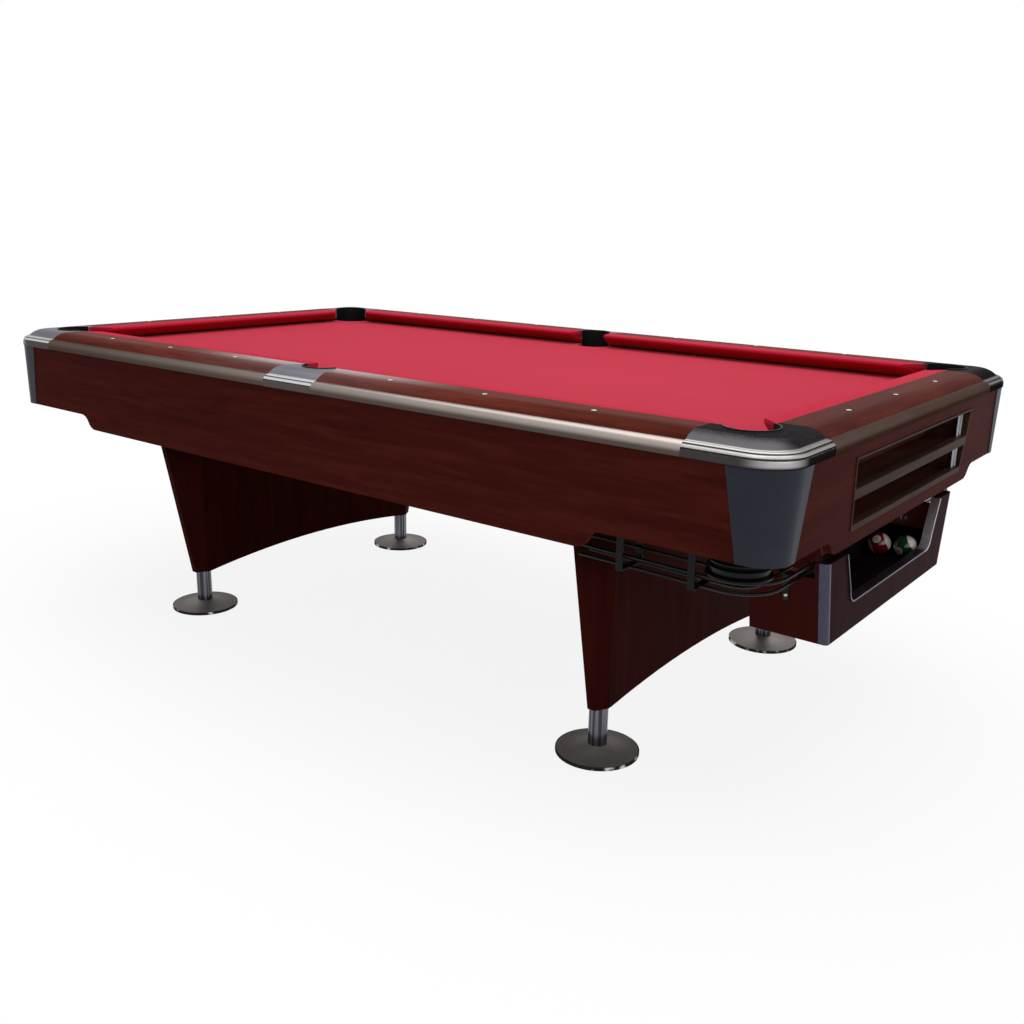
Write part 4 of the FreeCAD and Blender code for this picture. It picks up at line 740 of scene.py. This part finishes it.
def worsted(title, deep, pale, sheen):
    """Woollen cloth. Gives the finish and its colour."""
    finish = Finish(title, {"Sheen Weight": sheen, **WOOL})
    nap = noise(finish, place_on(finish, BRUSHED_ALONG), NAP_SCALE)
    threads = noise(finish, place_on(finish), THREAD_SCALE, detail=1.0)
    cloud = noise(finish, place_on(finish), CLOUD_SCALE)
    colour = mix(finish, nap * NAP_SHARE + threads * THREAD_SHARE + cloud * CLOUD_SHARE, deep, pale)
    rounded, _ = broken_edge(finish, CLOTH_EDGE)
    finish.feed({"Base Color": colour, "Roughness": nap * NAP_DULL + CLOTH_DULL,
                 "Normal": bump(finish, threads + nap, WEAVE_DEPTH, WEAVE_STRENGTH, rounded)})
    return finish, colour


# Painted sheen: the bed's copy of the cloth is paler than the cushions'.
bed_red, _ = worsted("bed cloth", rgb(178, 36, 58), rgb(198, 48, 72), 0.10)
cushion_red, cushion_colour = worsted("cushion cloth", rgb(178, 28, 52), rgb(197, 40, 66), 0.06)
print("two cloths")

# %% [markdown]
# Under its nose a cushion's cloth gets no light but what the bed throws back, and its colour there is painted
# shade: a deep red that follows the height above the bed, painted brighter again close to the bed, a painted
# light against the deepest shade.

# %% Cloth under the nose
NOSE_FROM, NOSE_TO = 0.029, 0.036
AT_BED_LIT, UNDER_NOSE_SHADE = rgb(214, 14, 28), rgb(166, 10, 22)

bed_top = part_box("bed_cloth")[1].z
above_bed = axes(cushion_red, place_on(cushion_red))[2] - bed_top
# Painted shade under the nose, and painted light close to the bed.
painted_under_nose = mix(cushion_red, rise(cushion_red, above_bed, 0.0, NOSE_FROM), AT_BED_LIT, UNDER_NOSE_SHADE)
above_nose = rise(cushion_red, above_bed, NOSE_FROM, NOSE_TO)
cushion_red.feed({"Base Color": mix(cushion_red, above_nose, painted_under_nose, cushion_colour)})
print("the cushions are deep red up to", NOSE_FROM, "m above the bed")

# %% [markdown]
# ## From mesh to piece
# Every new piece ends the same way: its bmesh becomes an object at the origin, smooth where it bends
# gently and sharp where it turns, and it rides on the body that carries it. A closed shape is first put in
# its place, and its faces are turned outwards.

# %% Finishing a piece
SHARP = math.radians(32)


def placed(shape, place=Matrix.Identity(4)):
    """Puts a closed shape in its place, with its faces outwards."""
    shape.transform(place)
    bmesh.ops.recalc_face_normals(shape, faces=shape.faces)
    return shape


def piece(shape, name, finish, body="table"):
    made = bpy.data.objects.new(name, bpy.data.meshes.new(name))
    for face in shape.faces:
        face.smooth = True
    shape.to_mesh(made.data)
    shape.free()
    made.data.set_sharp_from_angle(angle=SHARP)
    made.data.materials.append(finish.material)
    bpy.context.scene.collection.objects.link(made)
    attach(made, body)
    return made


print("pieces are sharp from", round(math.degrees(SHARP)), "degrees")

# %% [markdown]
# ## Bed cloth
# The cloth covers the slates and is turned down into each pocket. It is stretched, so a simulation would have
# nothing to do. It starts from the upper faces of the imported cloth, which already has the six notches. The
# edge of each notch is extruded three times: over the rounded edge of the slate and then down it. A Solidify
# modifier gives the cloth its millimetre.

# %% Upper side of the cloth
CORNER_OUT, SIDE_OUT = 0.025, 0.041
MERGE, UPWARD, FLAT = 1e-5, 0.9, math.radians(0.5)

nose_x, nose_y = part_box("cushion_foot")[0].x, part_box("cushion_far_foot")[0].y
corner_x, corner_y, side_y = nose_x + CORNER_OUT, nose_y + CORNER_OUT, nose_y + SIDE_OUT
pockets = [Vector((x * corner_x, y * corner_y, 0)) for x in (-1, 1) for y in (-1, 1)]
pockets += [Vector((0, y * side_y, 0)) for y in (-1, 1)]

bed = bmesh.new()
bed.from_mesh(nodes["bed_cloth"].data)
bmesh.ops.remove_doubles(bed, verts=bed.verts, dist=MERGE)
bed.normal_update()
bmesh.ops.delete(bed, geom=[face for face in bed.faces if face.normal.z < UPWARD], context="FACES")
bmesh.ops.dissolve_limit(bed, angle_limit=FLAT, verts=bed.verts[:], edges=bed.edges[:])
print("the cloth's upper side has", len(bed.faces), "faces and", len(pockets), "notches")

# %% Cloth turned down into the pockets
NOTCH_REACH = 0.1
CLOTH = 0.001
LIP = ((0.3 * CLOTH, 0.0001), (0.8 * CLOTH, 0.0007), (CLOTH, 0.0200))


def turn_down(shape, pocket):
    """Extrudes a notch's edge over the slate and down into the pocket. Gives the notch's radius."""
    near = [v for v in shape.verts if (v.co.xy - pocket.xy).length < NOTCH_REACH]
    rim = [e for e in shape.edges if e.is_boundary and all(v in near for v in e.verts)]
    radius = min((v.co.xy - pocket.xy).length for e in rim for v in e.verts)
    before, top = radius, rim[0].verts[0].co.z
    for inward, down in LIP:
        grown = bmesh.ops.extrude_edge_only(shape, edges=rim)["geom"]
        verts = [g for g in grown if isinstance(g, bmesh.types.BMVert)]
        rim = [g for g in grown if isinstance(g, bmesh.types.BMEdge) and all(v in verts for v in g.verts)]
        share = (radius - inward) / before
        bmesh.ops.scale(shape, vec=(share, share, 1), space=Matrix.Translation(-pocket), verts=verts)
        bmesh.ops.translate(shape, vec=(0, 0, top - down - verts[0].co.z), verts=verts)
        before = radius - inward
    return radius


notches = [turn_down(bed, pocket) for pocket in pockets]
bmesh.ops.recalc_face_normals(bed, faces=bed.faces)
if max(bed.faces, key=lambda face: face.calc_area()).normal.z < 0:
    bmesh.ops.reverse_faces(bed, faces=bed.faces)
cut_area = sum(face.calc_area() for face in bed.faces)
bed_cloth = piece(bed, "bed_cloth_sheet", bed_red)
max(bed_cloth.data.polygons, key=lambda face: face.area).use_smooth = False
wall = bed_cloth.modifiers.new("thickness", "SOLIDIFY")
wall.thickness = CLOTH
wall.offset = -1.0
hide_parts("bed_cloth")
print("cloth of", round(cut_area, 3), "square metres, notches of", [round(r, 4) for r in notches])

# %% [markdown]
# ## Cushions
# A cushion is a strip of rubber glued to the rail, with cloth pulled over its nose. A curve with a bevel
# would be quicker, but its ends couldn't be slanted. So a section with four corners is extruded along the
# rail, the nose is rounded with a bevel, the ends are cut off at the facings of the pockets with a bisecting
# plane, and the cut edges are rounded, because cloth goes round them. The shape is made along u, with its
# depth v behind the nose, and set on each rail by a matrix.

# %% Shape of a cushion
NOSE_UPPER, NOSE_LOWER = 0.0415, 0.0311
BACK_TOP, BACK_BOTTOM = 0.0430, 0.0060
NOSE_ROUND, FACING_ROUND, BACK_ROUND = 0.0050, 0.0022, 0.0012
OVERLENGTH = 0.12

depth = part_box("cushion_foot")[1].x - nose_x


def cut_facing(shape, at, run):
    """Cuts one end off: the plane goes through the nose at u and through the back, run further on."""
    outwards = Vector((depth * math.copysign(1, run), -abs(run), 0))
    everything = shape.verts[:] + shape.edges[:] + shape.faces[:]
    cut = bmesh.ops.bisect_plane(shape, geom=everything, plane_co=(at, 0, 0), plane_no=outwards,
                                 clear_outer=True)
    edges = [g for g in cut["geom_cut"] if isinstance(g, bmesh.types.BMEdge)]
    face = bmesh.ops.contextual_create(shape, geom=edges)["faces"]
    return [edge for f in face for edge in f.edges]


def round_off(shape, edges, radius, segments):
    bmesh.ops.bevel(shape, geom=edges, offset=radius, segments=segments, profile=0.5, affect="EDGES",
                    material=-1, clamp_overlap=True)


def cushion(name, start, start_run, end, end_run, to_table):
    shape = bmesh.new()
    section = ((0, NOSE_UPPER), (0, NOSE_LOWER), (depth, BACK_BOTTOM), (depth, BACK_TOP))
    corners = [shape.verts.new((start - OVERLENGTH, v, bed_top + z)) for v, z in section]
    first = shape.faces.new(corners)
    grown = bmesh.ops.extrude_face_region(shape, geom=[first])["geom"]
    last = [g for g in grown if isinstance(g, bmesh.types.BMVert)]
    bmesh.ops.translate(shape, vec=(end - start + 2 * OVERLENGTH, 0, 0), verts=last)
    lengthwise = [e for e in shape.edges if abs(e.verts[0].co.x - e.verts[1].co.x) > OVERLENGTH]
    nose = [e for e in lengthwise if e.verts[0].co.y < depth / 2]
    upper_back = [e for e in lengthwise if e not in nose and e.verts[0].co.z > bed_top + NOSE_LOWER]
    round_off(shape, nose, NOSE_ROUND, segments=5)
    round_off(shape, upper_back, BACK_ROUND, segments=2)
    facing = cut_facing(shape, start, start_run) + cut_facing(shape, end, end_run)
    round_off(shape, facing, FACING_ROUND, segments=3)
    made = piece(placed(shape, to_table), name + "_cloth", cushion_red)
    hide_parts(name)
    return made


print("a cushion is", round(depth, 4), "m deep")

# %% Six cushions
CORNER_CUT, CORNER_RUN, SIDE_HALF, SIDE_RUN = 0.083, 0.050, 0.065, 0.008
SWAP_AXES = Matrix(((0, 1, 0, 0), (1, 0, 0, 0), (0, 0, 1, 0), (0, 0, 0, 1)))
SWAP_SIDES, SWAP_ENDS = Matrix.Diagonal((1, -1, 1, 1)), Matrix.Diagonal((-1, 1, 1, 1))
FAR, FOOT = Matrix.Translation((0, nose_y, 0)), Matrix.Translation((nose_x, 0, 0)) @ SWAP_AXES

long_end, short_end = nose_x - CORNER_CUT, nose_y - CORNER_CUT
long_run = (SIDE_HALF, -SIDE_RUN, long_end, CORNER_RUN)
short_run = (-short_end, -CORNER_RUN, short_end, CORNER_RUN)
cushions = [cushion("cushion_far_foot", *long_run, FAR),
            cushion("cushion_far_head", *long_run, SWAP_ENDS @ FAR),
            cushion("cushion_near_foot", *long_run, SWAP_SIDES @ FAR),
            cushion("cushion_near_head", *long_run, SWAP_SIDES @ SWAP_ENDS @ FAR),
            cushion("cushion_foot", *short_run, FOOT),
            cushion("cushion_head", *short_run, SWAP_ENDS @ FOOT)]
print(len(cushions), "cushions of", len(cushions[0].data.polygons), "faces each")

# %% [markdown]
# ## Under the foot corners
# A ball that drops into a foot corner pocket goes through a ribbed rubber boot, which is pushed over the
# liner and ends above the gully wires. Its section is a closed outline beside the pocket's axis. A stack of
# rings would leave seams, so the outline is spun once round the axis; its first and last copies meet and are
# merged.

# %% Boots
BOOT_TOP, BOOT_BOTTOM = 0.700, 0.566
SLEEVE_IN, SLEEVE_OUT, SLEEVE_LOW, SLEEVE_STEP = 0.0578, 0.0603, 0.6885, 0.001
BOOT_IN, NECK, CREST, FLANGE = 0.0547, 0.0577, 0.0622, 0.0660
RIB_PITCH, RIB = 0.012, ((NECK, 0.25), (CREST, 0.5), (CREST, 0.75))
FLANGE_TOP = BOOT_BOTTOM + 0.004
BOOT_STEPS, BOOT_MERGE = 48, 1e-6


def boot(name, x, y):
    outline = [(SLEEVE_IN, BOOT_TOP), (SLEEVE_OUT, BOOT_TOP), (SLEEVE_OUT, SLEEVE_LOW)]
    for rib in range(int((SLEEVE_LOW - FLANGE_TOP) / RIB_PITCH)):
        outline += [(radius, SLEEVE_LOW - (rib + drop) * RIB_PITCH) for radius, drop in RIB]
    outline += [(NECK, FLANGE_TOP), (FLANGE, FLANGE_TOP), (FLANGE, BOOT_BOTTOM), (BOOT_IN, BOOT_BOTTOM),
                (BOOT_IN, SLEEVE_LOW - SLEEVE_STEP), (SLEEVE_IN, SLEEVE_LOW - SLEEVE_STEP)]
    shape = bmesh.new()
    points = [shape.verts.new((x + radius, y, z)) for radius, z in outline]
    edges = [shape.edges.new((points[i - 1], points[i])) for i in range(len(points))]
    bmesh.ops.spin(shape, geom=points + edges, cent=(x, y, 0), axis=(0, 0, 1), angle=2 * math.pi,
                   steps=BOOT_STEPS, use_merge=True)
    bmesh.ops.remove_doubles(shape, verts=shape.verts, dist=BOOT_MERGE)
    return piece(placed(shape), name, gully_black)


foot_pockets = [pocket for pocket in pockets if pocket.x > 0]
boots = [boot(f"boot_{'near' if pocket.y < 0 else 'far'}", pocket.x, pocket.y) for pocket in foot_pockets]
print(len(boots), "boots of", len(boots[0].data.polygons), "faces each")

# %% [markdown]
# Where the wires enter the box, a hooked strap on each side wall carries them. It is a flat bar with a tongue
# at its top, and a bright round-headed screw holds it. Each bar is a block with broken edges, made upright
# and then leaned by a shear, which keeps its ends level as a turn would not.

# %% Bars on the leaning walls
BAR_EDGE, CLEAR = 0.0006, 0.0003

strip_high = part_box("ball_box_trim")[1]
wall_half = strip_high.y - BOX_FLARE * (strip_high.z - box_low)


def bar(shape, low, high):
    """A block between two corners, with its edges broken."""
    low, high = Vector(low), Vector(high)
    to_place = Matrix.Translation((low + high) / 2) @ Matrix.Diagonal((*(high - low), 1))
    made = bmesh.ops.create_cube(shape, size=1.0, matrix=to_place)["verts"]
    round_off(shape, [edge for edge in shape.edges if edge.verts[0] in made], BAR_EDGE, segments=2)


def on_wall(side):
    """From a flat place, with its height along z and its way out along y, to the leaning wall."""
    lean = Matrix(((1, 0, 0, 0), (0, 1, BOX_FLARE, 0), (0, 0, 1, 0), (0, 0, 0, 1)))
    out = Matrix.Translation((0, wall_half + CLEAR - BOX_FLARE * box_low, 0))
    return Matrix.Diagonal((1, side, 1, 1)) @ out @ lean


print("the walls of the box lean out by", BOX_FLARE, "from", round(wall_half, 4), "m")

# %% Straps and screws
STRAP = {"along": 1.1600, "low": 0.462, "high": 0.5255, "width": 0.014, "gauge": 0.003}
TONGUE = 0.013
SCREW_RADIUS, SCREW_HEIGHT, SCREW_Z, SCREW_SIDES = 0.0045, 0.0022, 0.474, 20
SCREW_TOP = 0.6 * SCREW_RADIUS


def strap(name, side):
    shape = bmesh.new()
    left, right = STRAP["along"] - STRAP["width"] / 2, STRAP["along"] + STRAP["width"] / 2
    bar(shape, (left, 0, STRAP["low"]), (right, STRAP["gauge"], STRAP["high"]))
    bar(shape, (left, STRAP["gauge"], STRAP["high"] - STRAP["gauge"]), (right, TONGUE, STRAP["high"]))
    piece(placed(shape, on_wall(side)), name, gully_black)


def screw(name, side):
    shape = bmesh.new()
    outwards = Matrix.Rotation(-math.pi / 2, 4, "X")
    middle = Matrix.Translation((STRAP["along"], STRAP["gauge"] + CLEAR + SCREW_HEIGHT / 2, SCREW_Z))
    bmesh.ops.create_cone(shape, cap_ends=True, segments=SCREW_SIDES, radius1=SCREW_RADIUS, radius2=SCREW_TOP,
                          depth=SCREW_HEIGHT, matrix=middle @ outwards)
    piece(placed(shape, on_wall(side)), name, steel)


print("a strap is", round(STRAP["high"] - STRAP["low"], 4), "m long")

# %% [markdown]
# Above the wires a batten closes the gap up to the apron, its flap hangs down between the two upper wires,
# and a thin filler closes the corner between the flared wall and the upright back board. They keep daylight
# out of the box. The filler has two bars, since the batten is thinner than the wall.

# %% Battens, and all three on each wall
BATTEN = {"back": 1.078, "low": 0.5645, "high": 0.6250, "gauge": 0.010}
FLAP = {"back": 1.1555, "front": 1.2095, "low": 0.5400}
FILLER = {"low": 0.4630, "gauge": 0.0026, "reach": 0.0750}
BOARD = 0.020


def batten(name, side):
    shape = bmesh.new()
    low, high, inner_face = BATTEN["low"], BATTEN["high"], -BATTEN["gauge"]
    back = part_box("ball_box_carcass")[0].x + BOARD + CLEAR
    front = back + FILLER["gauge"]
    bar(shape, (back, -FILLER["reach"], FILLER["low"]), (front, -BOARD - CLEAR, low))
    bar(shape, (back, -FILLER["reach"], low), (front, inner_face - CLEAR, high))
    bar(shape, (FLAP["back"], inner_face, FLAP["low"]), (FLAP["front"], -CLEAR, low))
    bar(shape, (BATTEN["back"], inner_face, low), (front_inner - CLEAR, -CLEAR, high))
    piece(placed(shape, on_wall(side)), name, box_boards)


for name, side in (("near", -1), ("far", 1)):
    strap(f"wire_strap_{name}", side)
    screw(f"strap_screw_{name}", side)
    batten(f"box_batten_{name}", side)
print("a strap, a screw and a batten on each wall of the box")

# %% [markdown]
# ## Balls
# A striped ball is white with a coloured band round it, a white spot in the band and a number in the spot.
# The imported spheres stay. A UV map would need a seam, so their finish centres the coordinates on the ball
# with a Mapping node, makes them a direction, and asks how far that direction is from the stripe's axis and
# from the spot.

# %% Striped balls
STRIPE_HALF, STRIPE_SOFT = 0.60, 0.006
SPOT, SPOT_SOFT = 0.925, 0.004
IVORY = rgb(230, 221, 204), rgb(250, 245, 234)
SCRATCH_SCALE, SCRATCH_DULL, BALL_DULL = 180.0, 0.12, 0.08


def striped(title, name, colour, axis, spot):
    finish = Finish(title, {"Coat Weight": 0.3})
    heading = vector_math(finish, "NORMALIZE", place_on(finish, shift=tuple(-middle_of(name))))
    along_axis, along_spot = (vector_math(finish, "DOT_PRODUCT", heading, tuple(way.normalized()))
                              for way in (axis, spot))
    band = 1 - rise(finish, abs(along_axis), STRIPE_HALF - STRIPE_SOFT, STRIPE_HALF + STRIPE_SOFT)
    white_spot = rise(finish, along_spot, SPOT - SPOT_SOFT, SPOT + SPOT_SOFT)
    scratches = noise(finish, place_on(finish), SCRATCH_SCALE, detail=5.0)
    painted = mix(finish, band * (1 - white_spot), mix(finish, scratches, *IVORY), colour)
    finish.feed({"Base Color": painted, "Roughness": scratches * SCRATCH_DULL + BALL_DULL})
    dress(name, finish)


TO_EYE = Vector((0.30, -0.91, 0.28))
RIGHT, UP = Vector((0.79, 0.61, 0)), Vector((0, 0.29, 0.96))
MAROON_SPOT = TO_EYE - 0.45 * RIGHT + 0.55 * UP
GREEN_SPOT = TO_EYE - 1.1 * RIGHT - 0.9 * UP
MAROON_AXIS = MAROON_SPOT.cross(0.6 * RIGHT - UP)
GREEN_AXIS = 0.55 * TO_EYE + 0.8 * RIGHT + 0.45 * UP
striped("maroon stripe", "ball_maroon_stripe", rgb(120, 16, 30), MAROON_AXIS, MAROON_SPOT)
striped("green stripe", "ball_green_stripe", rgb(14, 84, 48), GREEN_AXIS, GREEN_SPOT)
print("two striped balls")

# %% [markdown]
# The number is a text object made into a mesh, laid flat in front of its spot and then pushed onto the
# sphere: each point goes along its own radius until it stands a hair above the surface.

# %% Numbers on the balls
NUMBER_HEIGHT, NUMBER_LIFT = 0.0105, 0.0001
ink = moulded("number ink", rgb(14, 14, 16), rgb(24, 24, 26), 900.0, 0.3, 0.3)


def number(text, name, spot, slot, body):
    words = bpy.data.curves.new("number_" + text, "FONT")
    words.body = text
    words.size = NUMBER_HEIGHT
    words.align_x = "CENTER"
    words.align_y = "CENTER"
    flat = bpy.data.objects.new("number_" + text, words)
    bpy.context.scene.collection.objects.link(flat)
    shape = bmesh.new()
    shape.from_mesh(flat.evaluated_get(bpy.context.evaluated_depsgraph_get()).to_mesh())
    bpy.data.objects.remove(flat)
    bmesh.ops.triangulate(shape, faces=shape.faces)
    bmesh.ops.subdivide_edges(shape, edges=shape.edges, cuts=2)
    middle, (low, high) = middle_of(name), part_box(name)
    radius = (high.x - low.x) / 2
    turn = spot.to_track_quat("Z", "Y").to_matrix().to_4x4()
    shape.transform(Matrix.Translation(middle) @ turn @ Matrix.Translation((0, 0, radius)))
    for v in shape.verts:
        v.co = middle + (v.co - middle).normalized() * (radius + NUMBER_LIFT)
    piece(shape, name + "_number", ink, body)


number("15", "ball_maroon_stripe", MAROON_SPOT, "ball_maroon", "maroon_ball")
number("14", "ball_green_stripe", GREEN_SPOT, "ball_green", "green_ball")
print("numbers on both balls")
